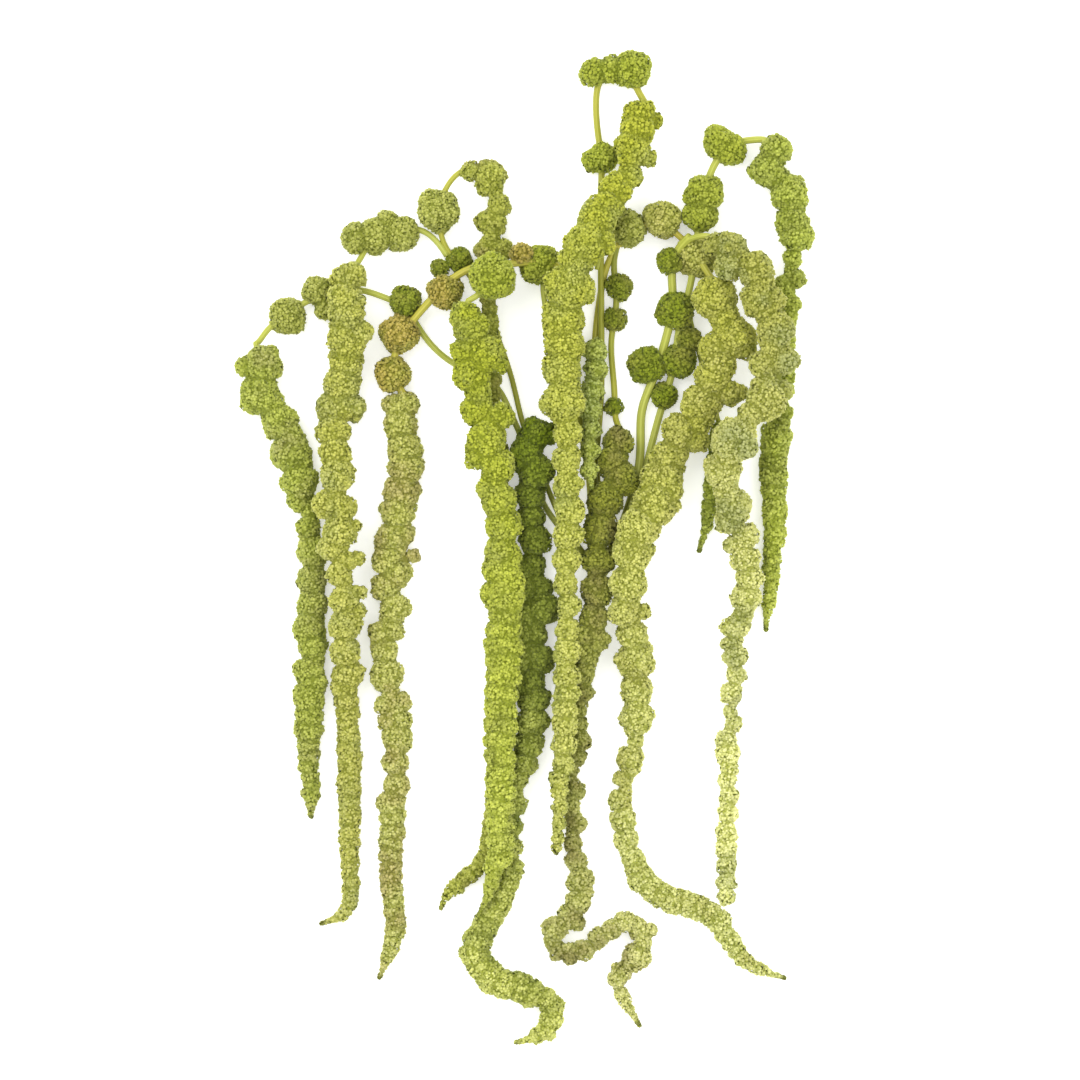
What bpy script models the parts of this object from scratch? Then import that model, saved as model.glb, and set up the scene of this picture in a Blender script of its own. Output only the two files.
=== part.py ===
"""Amaranth seed head: one cut head of a hanging kind, laid down on a flat surface.

One main stem ends in a crown. Bare stems fan out from the crown, arch over and carry loose balls
of florets, and each ends in a long tail that is covered in florets and lies along the surface.

Plan measures below are millimetres, with +X to the right and +Y towards the top of the arch.
Heights aren't listed: each strand is laid in turn on the surface, or on what lies there already.
"""

import math
import random

import bmesh
import bpy
import numpy as np
from mathutils import Matrix, Quaternion, Vector

MM = 0.001

# Driving dimensions, millimetres
MAIN_STEM_RADIUS = 4.3
MAIN_STEM_ROUTE = [(46, 2), (46, -14), (46, -34), (44, -58)]
MAIN_STEM_TAPER = (0.8, 1.05, 1.0, 0.96)
CROWN_HEIGHT = 4.5
GAP = 0.3

# Sampling of the routes, millimetres
ROUTE_STEP = 3.0
HEADING_STEP = 2.0
RUN_STEP = 0.5

# Bare stems: sides of the skin, and how far apart its rings are
SIDES = 8
MAIN_STEM_SIDES = 12
CORNER_SHARE = 1 / math.cos(math.pi / SIDES)
SHORTEST_STEM_STEP = 5.0
LONGEST_STEM_STEP = 24.0
STEM_TURN = math.radians(22)
LEAST_RING_STEP = 2.0
END_MARGIN = 1.0

# Loose balls: rings along a bead in radii, how far off the stem and how bent inside a ball isn't a
# bead any more but a ball of its own, and how much thicker than the stem a skin carries florets
BEAD_RINGS = (-0.9, -0.32, 0.32, 0.9)
BEAD_OFFSET = 0.42
BEAD_TURN = math.radians(40)
BALL_SCALE = 1.05
COVERED_SHARE = 2.0

# Relief of the florets, as shares of the local radius
PEAK_HEIGHT = 0.05
PIT_DEPTH = 0.08
BALL_PIT_DEPTH = 0.10
FLORET_JITTER = 0.03
WAIST = 0.86
SIDE_STEP = 0.06
LEAST_SIDE_STEP = 0.3

# Lumps of florets along a tail: length in radii, and where a lump's rings lie, the waist first
PITCH = 2.35
THIN_PITCH = 2.7
ROUND_START = 0.85
THIN_RADIUS = 5.5
LEAST_PITCH_RADIUS = 3.8
LUMP_RINGS = (0.0, 0.36, 0.68)
THIN_LUMP_RINGS = (0.0, 0.5)

# How strands lie on each other: the skin's reach beyond the radius, how deep the weight presses a
# tail on the surface, and the height under which its corners are flat there, in radii
SWELL = 1.16
PRESS_SHARE = 0.06
FLAT_SHARE = 0.12
BALL_FLAT_SHARE = 0.16
MAIN_STEM_FLAT = 0.1
SIDE_BY_SIDE = 0.94
TOUCH_MARGIN = 0.995
STEM_SLOPE = 0.22
TAIL_SLOPE = 0.5
ROOT_CLEARANCE = 25.0
OWN_STEM_CLEARANCE = 22.0
STEEPEST = 0.9
SETTLING_ROUNDS = 50

SHARP_ANGLE = math.radians(50)
SEED = 11

# Each strand:
#   parent  the strand that its stem leaves, or "" for the crown
#   stem    plan route of the bare stem, up to the tail
#   balls   loose balls of florets on the stem (x, y, radius)
#   tail    runs of the tail between pinches (x, y, radius)
#   knobs   side lumps on the tail (x, y, radius)
STRANDS = [
    {
        "name": "outer_left",
        "parent": "",
        "stem_radius": 1.8,
        "stem": [(44, -17), (32, 2), (15, 24), (3, 64), (-2, 72), (-9, 90), (-34, 100), (-52, 118),
                 (-60, 134), (-71, 136), (-84, 143), (-97, 141), (-109, 139), (-118, 133),
                 (-126, 127), (-138, 120), (-142, 109)],
        "balls": [(-60, 135, 9), (-109, 141, 8), (-104, 131, 6), (-125, 127, 10.5)],
        "tail": [
            [(-140, 102, 12), (-138, 86, 11.5), (-127, 69, 10.5), (-119, 52, 10.5), (-115, 31, 9.5),
             (-112, 14, 8), (-110, -8, 8.5), (-110, -30, 8.5), (-110, -49, 8.5), (-111, -71, 8.5),
             (-113, -93, 8), (-114, -112, 6.5), (-113, -123, 4.5)],
            [(-112, -131, 4.5), (-112, -138, 5.5), (-112, -146, 4), (-112, -151, 2.5)],
        ],
        "knobs": [],
    },
    {
        "name": "hooked",
        "parent": "",
        "stem_radius": 1.6,
        "stem": [(44, -11), (28, 10), (17, 36), (9, 56), (4, 69), (-1, 93), (-6, 107), (-11, 121),
                 (-19, 141), (-30, 157), (-37, 160), (-41, 171), (-42, 185), (-39, 197), (-34, 205),
                 (-27, 209)],
        "balls": [(-42, 185, 12), (-30, 158, 7), (-41, 153, 5)],
        "tail": [
            [(-22, 207, 5), (-13, 203, 9.5), (-8, 191, 7), (-14, 179, 7.5), (-10, 164, 9)],
            [(-13, 153, 2.5), (-14, 141, 3), (-14, 127, 6), (-12, 115, 4), (-12, 97, 4.5), (-10, 69, 5),
             (-8, 42, 5), (-8, 14, 5.5), (-8, -8, 5.5), (-8, -25, 5.5), (-7, -52, 5),
             (-8, -79, 5), (-9, -101, 5), (-10, -126, 5), (-12, -151, 5), (-15, -168, 4.5),
             (-20, -178, 4.5), (-28, -184, 4.5), (-35, -190, 4), (-39, -196, 3), (-41, -202, 1.5)],
        ],
        "knobs": [],
    },
    {
        "name": "russet",
        "parent": "",
        "stem_radius": 2.2,
        "stem": [(44, -14), (43, 20), (41, 45), (36, 69), (34, 108), (32, 135), (31, 149), (23, 157),
                 (6, 157), (-4, 154), (-22, 155), (-33, 149), (-41, 141), (-51, 130), (-62, 117),
                 (-67, 104), (-68, 95), (-64, 87)],
        "balls": [(4, 161, 6), (-38, 140, 10), (-63, 117, 11), (-67, 95, 10)],
        "tail": [
            [(-60, 78, 6.5), (-62, 66, 9), (-59, 53, 9.5), (-60, 36, 10), (-62, 20, 9.5),
             (-64, 1, 9.5), (-67, -16, 9.5), (-68, -32, 8.5), (-71, -49, 7.5), (-70, -65, 8.5),
             (-68, -82, 8.5), (-65, -101, 7.5), (-65, -123, 7.5), (-67, -145, 7), (-68, -167, 6.5),
             (-68, -189, 6), (-65, -209, 5.5), (-68, -222, 4.5), (-72, -232, 3), (-75, -240, 1.5)],
        ],
        "knobs": [],
    },
    {
        "name": "deep_green",
        "parent": "russet",
        "stem_radius": 1.7,
        "stem": [(23, 157), (16, 155), (15, 145), (16, 138)],
        "balls": [(14, 155, 11.5)],
        "tail": [
            [(16, 130, 6), (19, 113, 5), (20, 94, 5), (19, 80, 6), (15, 68, 9), (13, 58, 10.5),
             (9, 48, 11), (9, 36, 10.5), (10, 23, 9.5), (11, 9, 9), (10, -5, 7), (12, -19, 7),
             (13, -33, 8.5), (12, -47, 8), (11, -60, 10), (11, -79, 10), (10, -96, 9.5),
             (7, -112, 8), (2, -131, 6.5), (-1, -148, 6), (-2, -162, 6), (-1, -174, 6.5),
             (-5, -189, 7), (-10, -201, 7.5), (-18, -212, 8), (-22, -223, 8), (-19, -234, 8),
             (-12, -239, 7.5), (-3, -240, 7), (7, -245, 7), (17, -250, 6.5), (23, -258, 5.5),
             (21, -265, 4.5), (15, -269, 3.5), (7, -273, 2.5), (-2, -274, 1.5)],
        ],
        "knobs": [],
    },
    {
        "name": "broad_right_stem",
        "parent": "",
        "stem_radius": 1.9,
        "stem": [(47, -11), (47, 10), (46, 35), (44, 80), (45, 119), (48, 141), (51, 156), (57, 166),
                 (64, 175), (82, 179), (91, 171), (101, 161)],
        "balls": [(63, 175, 10.5), (82, 180, 10.5), (101, 159, 11.5)],
        "tail": [],
        "knobs": [],
    },
    {
        "name": "olive",
        "parent": "broad_right_stem",
        "stem_radius": 1.8,
        "stem": [(57, 166), (53, 159), (57, 143), (56, 125), (53, 118), (54, 100), (56, 81), (55, 74),
                 (56, 67)],
        "balls": [(58, 143, 7.5), (56, 125, 6.5), (55, 77, 5)],
        "tail": [
            [(57, 60, 7.5), (58, 50, 11), (56, 36, 9), (51, 25, 10), (49, 14, 9.5), (46, 3, 8.5),
             (45, -8, 7), (45, -24, 7.5), (45, -41, 7.5), (44, -56, 7), (38, -78, 6.5),
             (35, -98, 6), (34, -115, 6), (30, -133, 8), (33, -152, 6.5), (32, -163, 5.5),
             (35, -175, 6.5), (39, -185, 6), (35, -197, 8), (30, -208, 5.5), (22, -210, 4.5),
             (18, -217, 5), (23, -225, 4.5), (32, -226, 5), (40, -223, 5.5), (47, -217, 5.5),
             (51, -211, 5.5), (57, -208, 6), (66, -207, 6), (73, -210, 5.5), (75, -217, 5),
             (71, -223, 5), (63, -228, 5), (58, -236, 4.5), (56, -243, 4), (60, -250, 3),
             (65, -257, 2.5), (70, -266, 1.5)],
        ],
        "knobs": [],
    },
    {
        "name": "outer_right",
        "parent": "",
        "stem_radius": 2.1,
        "stem": [(49, -16), (62, 4), (70, 33), (74, 48), (80, 72), (85, 87), (90, 107), (90, 119),
                 (97, 141), (101, 171), (104, 190), (107, 204), (111, 213), (117, 221), (125, 225),
                 (131, 226), (137, 224)],
        "balls": [(83, 83, 7.5), (91, 102, 10), (97, 114, 7), (105, 194, 11), (103, 182, 9.5),
                  (113, 223, 9), (119, 219, 9.5)],
        "tail": [
            [(142, 217, 9), (144, 206, 9.5), (151, 196, 9.5), (155, 184, 10.5), (156, 172, 10)],
            [(155, 160, 5), (151, 148, 8), (152, 136, 5), (151, 124, 4.5), (150, 102, 5),
             (148, 76, 6), (146, 62, 8), (143, 47, 8), (143, 32, 7), (144, 19, 6.5), (143, 3, 5.5),
             (142, -11, 5), (142, -24, 4), (140, -35, 3), (139, -48, 1.5)],
        ],
        "knobs": [(136, 207, 7)],
    },
    {
        "name": "short_right",
        "parent": "outer_right",
        "stem_radius": 1.4,
        "stem": [(95, 135), (98, 122), (103, 103), (109, 82), (112, 71)],
        "balls": [],
        "tail": [
            [(113, 63, 5.5), (112, 50, 6), (110, 37, 5), (108, 24, 4), (107, 11, 2.5), (103, 2, 2),
             (102, -4, 1.3)],
        ],
        "knobs": [],
    },
    {
        "name": "broad_right",
        "parent": "broad_right_stem",
        "stem_radius": 2.0,
        "stem": [(100, 161), (104, 154), (109, 147), (112, 141)],
        "balls": [],
        "tail": [
            [(112, 136, 12), (118, 112, 14), (113, 95, 12), (109, 80, 12.5), (98, 63, 12.5),
             (89, 50, 12.5), (82, 37, 12.5), (79, 25, 12), (72, 13, 12), (66, -3, 11), (63, -15, 10),
             (63, -26, 9.5), (62, -37, 8), (65, -52, 9.5), (66, -70, 8), (67, -80, 9),
             (66, -95, 9)],
            [(65, -117, 8), (62, -130, 6.5), (61, -145, 6.5), (61, -160, 6.5), (64, -173, 6.5),
             (70, -184, 7), (79, -192, 7), (92, -197, 7), (102, -200, 6.5), (111, -203, 6.5),
             (115, -212, 6), (121, -221, 5), (128, -230, 4), (138, -235, 3), (151, -239, 1.5)],
        ],
        "knobs": [(106, 108, 8), (77, -4, 3.5), (74, -15, 3.5), (72, -38, 4.5), (74, -64, 5),
                  (75, -90, 5)],
    },
    {
        "name": "pale_right_stem",
        "parent": "",
        "stem_radius": 2.5,
        "stem": [(49, -12), (60, 12), (67, 34), (70, 49), (70, 77), (75, 87), (80, 101), (85, 119),
                 (88, 131), (87, 146), (86, 156), (91, 166), (97, 170)],
        "balls": [(73, 100, 10.5), (89, 130, 11), (86, 157, 7.5)],
        "tail": [],
        "knobs": [],
    },
    {
        "name": "pale_right",
        "parent": "pale_right_stem",
        "stem_radius": 1.7,
        "stem": [(91, 166), (97, 170)],
        "balls": [],
        "tail": [
            [(106, 168, 5), (119, 165, 7.5), (126, 157, 9), (133, 150, 10), (137, 134, 12),
             (141, 117, 11), (142, 101, 10), (139, 83, 12), (131, 71, 9), (120, 59, 13),
             (115, 43, 10.5), (116, 33, 9.5), (120, 19, 11), (125, 2, 9.5), (129, -11, 9.5),
             (128, -27, 8), (125, -37, 5.5), (122, -45, 7.5), (123, -55, 4.5), (119, -63, 4.5),
             (124, -72, 5), (123, -80, 3.5), (119, -88, 2.5)],
            [(119, -94, 3.5), (121, -100, 4), (116, -108, 6), (117, -117, 6.5), (118, -129, 5.5),
             (117, -143, 5.5), (117, -157, 5.5), (117, -170, 5.5), (116, -184, 5), (114, -193, 4)],
        ],
        "knobs": [(136, 98, 6.5)],
    },
    {
        "name": "inner_left",
        "parent": "hooked",
        "stem_radius": 1.7,
        "stem": [(-37, 160), (-43, 170), (-52, 177), (-62, 175), (-70, 177), (-78, 171), (-83, 164),
                 (-87, 153)],
        "balls": [(-62, 172, 10), (-70, 179, 6), (-77, 171, 10.5), (-87, 170, 9)],
        "tail": [
            [(-91, 147, 8.5), (-90, 134, 8), (-91, 118, 11.5), (-93, 105, 9.5), (-94, 92, 10.5),
             (-99, 76, 9.5), (-99, 58, 9), (-98, 46, 10), (-97, 25, 9), (-96, 9, 9), (-95, -9, 8.5),
             (-93, -30, 8.5), (-93, -52, 8.5), (-93, -74, 7.5), (-92, -93, 5.5), (-91, -112, 6.5),
             (-91, -134, 6), (-91, -156, 5.5), (-91, -178, 4.5), (-90, -195, 4), (-92, -203, 3.5),
             (-98, -206, 2.5), (-108, -209, 1.5)],
        ],
        "knobs": [(-99, 137, 5.5), (-88, 77, 7.5), (-86, -8, 3.5), (-86, -27, 3.5)],
    },
    {
        "name": "centre",
        "parent": "",
        "stem_radius": 1.9,
        "stem": [(46, -15), (45, 10), (44, 38), (46, 58), (48, 80), (48, 135), (48, 201), (49, 214),
                 (46, 226), (45, 251), (46, 261), (54, 263), (64, 262), (69, 252), (70, 246)],
        "balls": [(49, 214, 8.5), (44, 261, 8), (54, 263, 8), (65, 263, 11)],
        "tail": [
            [(68, 239, 9), (66, 221, 8), (66, 210, 9), (61, 199, 9.5), (53, 189, 9),
             (45, 175, 11), (34, 157, 12), (30, 142, 12), (29, 128, 11), (28, 116, 11.5),
             (29, 102, 12.5), (29, 80, 12.5), (30, 69, 9), (29, 53, 8), (30, 36, 9),
             (29, 14, 10), (29, 1, 8.5), (29, -13, 8), (29, -34, 7.5), (28, -46, 7.5),
             (28, -57, 7.5), (28, -85, 7), (27, -101, 6.5), (26, -118, 6), (25, -134, 5.5),
             (24, -151, 5), (24, -165, 4), (23, -171, 2)],
        ],
        "knobs": [(77, 235, 5)],
    },
    {
        "name": "slender",
        "parent": "centre",
        "stem_radius": 1.4,
        "stem": [(47, 172), (46, 166), (46, 160)],
        "balls": [],
        "tail": [
            [(45, 154, 5.5), (45, 135, 5.5), (45, 119, 5), (44, 102, 5.5), (42, 80, 5.5),
             (41, 58, 5), (42, 41, 4), (43, 31, 2)],
        ],
        "knobs": [],
    },
    {
        "name": "front_left",
        "parent": "russet",
        "stem_radius": 1.7,
        "stem": [(-4, 154), (-11, 147), (-18, 140), (-23, 134)],
        "balls": [(-12, 148, 13.5)],
        "tail": [
            [(-28, 129, 9), (-21, 111, 13), (-19, 90, 13), (-15, 71, 12.5), (-12, 53, 12),
             (-10, 36, 10), (-10, 24, 8)],
            [(-6, 12, 11), (-7, -4, 11), (-6, -20, 11), (-6, -36, 11), (-7, -52, 10.5),
             (-7, -74, 9.5), (-7, -96, 8.5), (-8, -118, 8), (-8, -140, 7.5), (-10, -165, 6.5),
             (-11, -178, 5), (-13, -189, 3.5), (-16, -197, 2.5), (-19, -202, 1.5)],
        ],
        "knobs": [],
    },
]

# What lies on what: stems and tails in the order in which they are laid down
LAYING_ORDER = [
    ("outer_left", "stem"),
    ("hooked", "stem"),
    ("hooked", "tail"),
    ("russet", "stem"),
    ("broad_right_stem", "stem"),
    ("centre", "stem"),
    ("olive", "stem"),
    ("outer_right", "stem"),
    ("pale_right_stem", "stem"),
    ("pale_right", "stem"),
    ("broad_right", "stem"),
    ("short_right", "stem"),
    ("inner_left", "stem"),
    ("slender", "stem"),
    ("deep_green", "stem"),
    ("outer_left", "tail"),
    ("russet", "tail"),
    ("deep_green", "tail"),
    ("olive", "tail"),
    ("outer_right", "tail"),
    ("short_right", "tail"),
    ("broad_right", "tail"),
    ("pale_right", "tail"),
    ("inner_left", "tail"),
    ("slender", "tail"),
    ("centre", "tail"),
    ("front_left", "stem"),
    ("front_left", "tail"),
]

# Base colour of each solid, and the roughness of all of them
COLOURS = {
    "stem": (0.42, 0.43, 0.11),
    "outer_left": (0.27, 0.33, 0.06),
    "inner_left": (0.45, 0.47, 0.13),
    "russet": (0.34, 0.32, 0.09),
    "front_left": (0.36, 0.44, 0.06),
    "deep_green": (0.17, 0.23, 0.04),
    "hooked": (0.27, 0.30, 0.07),
    "centre": (0.45, 0.48, 0.12),
    "slender": (0.30, 0.36, 0.10),
    "olive": (0.22, 0.24, 0.07),
    "broad_right": (0.37, 0.39, 0.09),
    "pale_right": (0.43, 0.47, 0.16),
    "outer_right": (0.21, 0.30, 0.04),
    "short_right": (0.27, 0.34, 0.08),
}
ROUGHNESS = 0.85


def remove_everything():
    for item in list(bpy.data.objects):
        bpy.data.objects.remove(item, do_unlink=True)


def smooth_points(stops, step):
    """Points about a step apart on a centripetal Catmull-Rom curve through the stops.

    Each row is x, y and radius, and the last value is the index of the stop that it follows.
    """
    stops = np.array(stops, dtype=float)
    padded = np.vstack([2 * stops[0] - stops[1], stops, 2 * stops[-1] - stops[-2]])
    rows = []
    for i in range(len(stops) - 1):
        p0, p1, p2, p3 = padded[i:i + 4, :2]
        t0 = 0.0
        t1 = t0 + math.sqrt(np.linalg.norm(p1 - p0))
        t2 = t1 + math.sqrt(np.linalg.norm(p2 - p1))
        t3 = t2 + math.sqrt(np.linalg.norm(p3 - p2))
        count = max(1, round(np.linalg.norm(p2 - p1) / step))
        for k in range(count):
            share = k / count
            t = t1 + (t2 - t1) * share
            a1 = (t1 - t) / (t1 - t0) * p0 + (t - t0) / (t1 - t0) * p1
            a2 = (t2 - t) / (t2 - t1) * p1 + (t - t1) / (t2 - t1) * p2
            a3 = (t3 - t) / (t3 - t2) * p2 + (t - t2) / (t3 - t2) * p3
            b1 = (t2 - t) / (t2 - t0) * a1 + (t - t0) / (t2 - t0) * a2
            b2 = (t3 - t) / (t3 - t1) * a2 + (t - t1) / (t3 - t1) * a3
            x, y = (t2 - t) / (t2 - t1) * b1 + (t - t1) / (t2 - t1) * b2
            radius = (1 - share) * stops[i][2] + share * stops[i + 1][2]
            rows.append((x, y, radius, i))
    rows.append((*stops[-1], len(stops) - 1))
    return np.array(rows)


class Laid:
    """One strand's route: plan, radius, height, and which samples are tail."""

    def __init__(self, spec):
        self.spec = spec
        self.name = spec["name"]
        stem = [(x, y, spec["stem_radius"]) for x, y in spec["stem"]]
        tail = [stop for run in spec["tail"] for stop in run]
        rows = smooth_points(stem + tail, ROUTE_STEP)
        self.x, self.y, self.radius, self.stop = rows.T
        self.radius = self.radius.copy()
        self.is_tail = self.stop >= len(stem) if tail else np.zeros(len(self.x), bool)
        self.radius[~self.is_tail] = spec["stem_radius"]
        self.along = np.concatenate(
            [[0.0], np.cumsum(np.hypot(np.diff(self.x), np.diff(self.y)))]
        )
        self.run_ends = []
        first = len(stem)
        for run in spec["tail"]:
            last = first + len(run) - 1
            self.run_ends.append((self.at_stop(first), self.at_stop(last)))
            first = last + 1
        if tail:
            self.round_start(tail[0][2])
        self.z = self.radius.copy()
        self.start_z = CROWN_HEIGHT
        first_tail = int(np.argmax(self.is_tail))
        self.tail_start = (self.x[first_tail], self.y[first_tail])
        self.extra = []
        for x, y, radius in spec["balls"]:
            self.extra.append((x, y, radius, self.nearest(x, y, False), False))
        for x, y, radius in spec["knobs"]:
            self.extra.append((x, y, radius, self.nearest(x, y, True), True))

    def round_start(self, radius):
        """The tail starts a little before its first stop, with a round end on its stem."""
        first, last = self.run_ends[0]
        before = self.along[first] - self.along
        round_end = (before > 0) & (before < ROUND_START * radius)
        self.is_tail |= round_end
        self.radius[round_end] = np.sqrt(radius**2 - before[round_end] ** 2)
        self.run_ends[0] = (int(np.argmax(self.is_tail)), last)

    def at_stop(self, stop):
        """Index of the sample at a stop."""
        return int(np.argmax(self.stop >= stop))

    def nearest(self, x, y, on_tail):
        """Index of the sample nearest to a point, on the tail or on the stem."""
        away = np.hypot(self.x - x, self.y - y) + np.where(self.is_tail == on_tail, 0.0, np.inf)
        return int(np.argmin(away))

    def is_bead(self, x, y, radius, sample):
        """Whether a ball is threaded on a straight stretch of the stem, and doesn't sit beside it."""
        if math.hypot(self.x[sample] - x, self.y[sample] - y) > BEAD_OFFSET * radius:
            return False
        start, end = self.along[sample] - radius, self.along[sample] + radius
        if start < 0 or end > self.along[~self.is_tail].max():
            return False
        return self.place(start)[2].angle(self.place(end)[2]) < BEAD_TURN

    def bends(self, start, end):
        """Lengths where a bare stem needs a ring between two others: more where it bends."""
        kept = []
        last = start
        heading = self.place(start)[2]
        for along in self.along:
            if not start + SHORTEST_STEM_STEP < along < end - SHORTEST_STEM_STEP:
                continue
            if along - last < SHORTEST_STEM_STEP:
                continue
            ahead = self.place(along)[2]
            if along - last > LONGEST_STEM_STEP or heading.angle(ahead) > STEM_TURN:
                kept.append(along)
                last = along
                heading = ahead
        return kept

    def spheres(self):
        """Every sphere of the strand: x, y, radius, sample, whether tail, whether bare stem."""
        rows = [
            (self.x[i], self.y[i], self.radius[i], i, self.is_tail[i], not self.is_tail[i])
            for i in range(len(self.x))
        ]
        rows += [(x, y, radius, i, tail, False) for x, y, radius, i, tail in self.extra]
        return np.array(rows, dtype=float)

    def solid_spheres(self):
        """The same spheres with their heights, as what later strands have to clear."""
        rows = self.spheres()
        heights = self.z[rows[:, 3].astype(int)]
        return np.column_stack(
            [rows[:, 0], rows[:, 1], heights, rows[:, 2], rows[:, 4], rows[:, 5]]
        )

    def place(self, along):
        """Position, radius and heading at a length along the route."""
        x, y, z, radius = (
            np.interp(along, self.along, values) for values in (self.x, self.y, self.z, self.radius)
        )
        ahead, behind = (
            Vector([np.interp(along + d, self.along, values) for values in (self.x, self.y, self.z)])
            for d in (HEADING_STEP, -HEADING_STEP)
        )
        return Vector((x, y, z)), float(radius), (ahead - behind).normalized()


def squeeze_side_by_side(strands):
    """Tails that press on each other sideways are thinner there, and stay at their own height."""
    for strand in strands:
        strand.squeezed = np.ones(len(strand.x))
    for strand in strands:
        for other in strands:
            if other is strand or not other.is_tail.any():
                continue
            dx = strand.x[:, None] - other.x[other.is_tail][None, :]
            dy = strand.y[:, None] - other.y[other.is_tail][None, :]
            reach = SWELL * (strand.radius[:, None] + other.radius[other.is_tail][None, :]) + GAP
            share = np.hypot(dx, dy) / reach
            share[(share < SIDE_BY_SIDE) | (share > 1)] = 1.0
            strand.squeezed = np.minimum(strand.squeezed, share.min(axis=1))
    for strand in strands:
        thinner = strand.radius * strand.squeezed * TOUCH_MARGIN
        strand.radius = np.where(strand.is_tail, thinner, strand.radius)


def needed_height(strand, on_tail, obstacles):
    """The least height of each sample of one part that clears the surface and the obstacles."""
    need = np.zeros(len(strand.x))
    for x, y, radius, sample, is_tail, is_bare in strand.spheres():
        if bool(is_tail) != on_tail:
            continue
        sample = int(sample)
        swell = 1.0 if is_bare else SWELL
        low = radius * (1.0 if is_bare else 1.0 - PRESS_SHARE)
        if len(obstacles):
            away = np.hypot(obstacles[:, 0] - x, obstacles[:, 1] - y)
            block_swell = np.where(obstacles[:, 5] > 0, 1.0, SWELL)
            reach = swell * radius + block_swell * obstacles[:, 3] + GAP
            counts = away < reach
            if not on_tail:
                from_root = math.hypot(x - strand.x[0], y - strand.y[0])
                both_bare = (obstacles[:, 5] > 0) & bool(is_bare) & (from_root > ROOT_CLEARANCE)
                counts &= (obstacles[:, 4] > 0) | both_bare
            if counts.any():
                rise = np.sqrt(reach[counts] ** 2 - away[counts] ** 2)
                low = max(low, float((obstacles[counts, 2] + rise).max()))
        need[sample] = max(need[sample], low)
    return need


def lay(strand, on_tail, obstacles):
    """Set the heights of one part: it bridges between what holds it up, and sags a little."""
    part = np.flatnonzero(strand.is_tail == on_tail)
    slope = TAIL_SLOPE if on_tail else STEM_SLOPE
    along = strand.along[part]
    floor = needed_height(strand, on_tail, obstacles)[part]
    start_z = strand.start_z
    if on_tail:
        start_z = strand.z[part[0] - 1]
        floor[0] = max(floor[0], start_z)
    for i in range(1, len(floor)):
        floor[i] = max(floor[i], floor[i - 1] - slope * (along[i] - along[i - 1]))
    for i in range(len(floor) - 2, -1, -1):
        floor[i] = max(floor[i], floor[i + 1] - slope * (along[i + 1] - along[i]))
    z = floor.copy()
    for _ in range(SETTLING_ROUNDS):
        if not on_tail:
            z[0] = start_z
        z[1:-1] = 0.25 * z[:-2] + 0.5 * z[1:-1] + 0.25 * z[2:]
        z[1:] = np.maximum(z[1:], floor[1:])
    if not on_tail:
        z = np.minimum(z, start_z + STEEPEST * along)
    strand.z[part] = z
    if on_tail:
        stem = np.flatnonzero(~strand.is_tail)
        reached = z[0] - STEEPEST * (along[0] - strand.along[stem])
        strand.z[stem] = np.maximum(strand.z[stem], reached)


def add_mesh_object(name, mesh, collection):
    item = bpy.data.objects.new(name, mesh)
    collection.objects.link(item)
    return item


def add_ball(collection, centre, radius, random_source):
    """A loose ball of florets beside a stem: each face of a twenty-sided ball is raised."""
    bm = bmesh.new()
    bmesh.ops.create_icosphere(bm, subdivisions=1, radius=1.0)
    for vert in bm.verts:
        vert.co = vert.co.normalized() * (1.0 - BALL_PIT_DEPTH)
    for vert in bmesh.ops.poke(bm, faces=bm.faces[:])["verts"]:
        vert.co = vert.co.normalized()
    axis = Vector([random_source.gauss(0, 1) for _ in range(3)]).normalized()
    turn = Quaternion(axis, random_source.uniform(0, math.tau)).to_matrix().to_4x4()
    size = Matrix.Scale(radius * MM, 4)
    bm.transform(Matrix.Translation(centre * MM) @ turn @ size)
    press_flat(bm)
    mesh = bpy.data.meshes.new("ball")
    bm.to_mesh(mesh)
    bm.free()
    return add_mesh_object("ball", mesh, collection)


def press_flat(bm):
    """What would reach below the surface is pressed flat on it."""
    for vert in bm.verts:
        vert.co.z = max(vert.co.z, 0.0)


def add_loft(name, collection, rings, sides, tip):
    """A closed skin over rings of (centre, heading, radius at each side, press height).

    Every other corner is a floret's peak, and each face runs from one peak to two pits. Corners
    below a ring's press height are flat on the surface. With a tip, the last ring closes on a point.
    """
    bm = bmesh.new()
    rows = []
    for centre, heading, radii, press_height in rings:
        across = heading.cross(Vector((0, 0, 1))).normalized()
        up = across.cross(heading)
        row = []
        for j, radius in enumerate(radii):
            angle = math.tau * (j + 0.5) / sides
            corner = centre + radius * (math.cos(angle) * across + math.sin(angle) * up)
            if corner.z < press_height:
                corner.z = 0.0
            row.append(bm.verts.new(corner * MM))
        rows.append(row)
    for k in range(len(rows) - 1):
        for j in range(sides):
            a, b = rows[k][j], rows[k][(j + 1) % sides]
            d, c = rows[k + 1][j], rows[k + 1][(j + 1) % sides]
            faces = ((a, b, d), (b, c, d)) if (k + j) % 2 == 0 else ((a, b, c), (a, c, d))
            for face in faces:
                bm.faces.new(face)
    bm.faces.new(reversed(rows[0]))
    if tip is None:
        bm.faces.new(rows[-1])
    else:
        point = bm.verts.new(tip * MM)
        for j in range(sides):
            bm.faces.new((rows[-1][j], rows[-1][(j + 1) % sides], point))
    bmesh.ops.recalc_face_normals(bm, faces=bm.faces)
    press_flat(bm)
    mesh = bpy.data.meshes.new(name)
    bm.to_mesh(mesh)
    bm.free()
    return add_mesh_object(name, mesh, collection)


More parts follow.
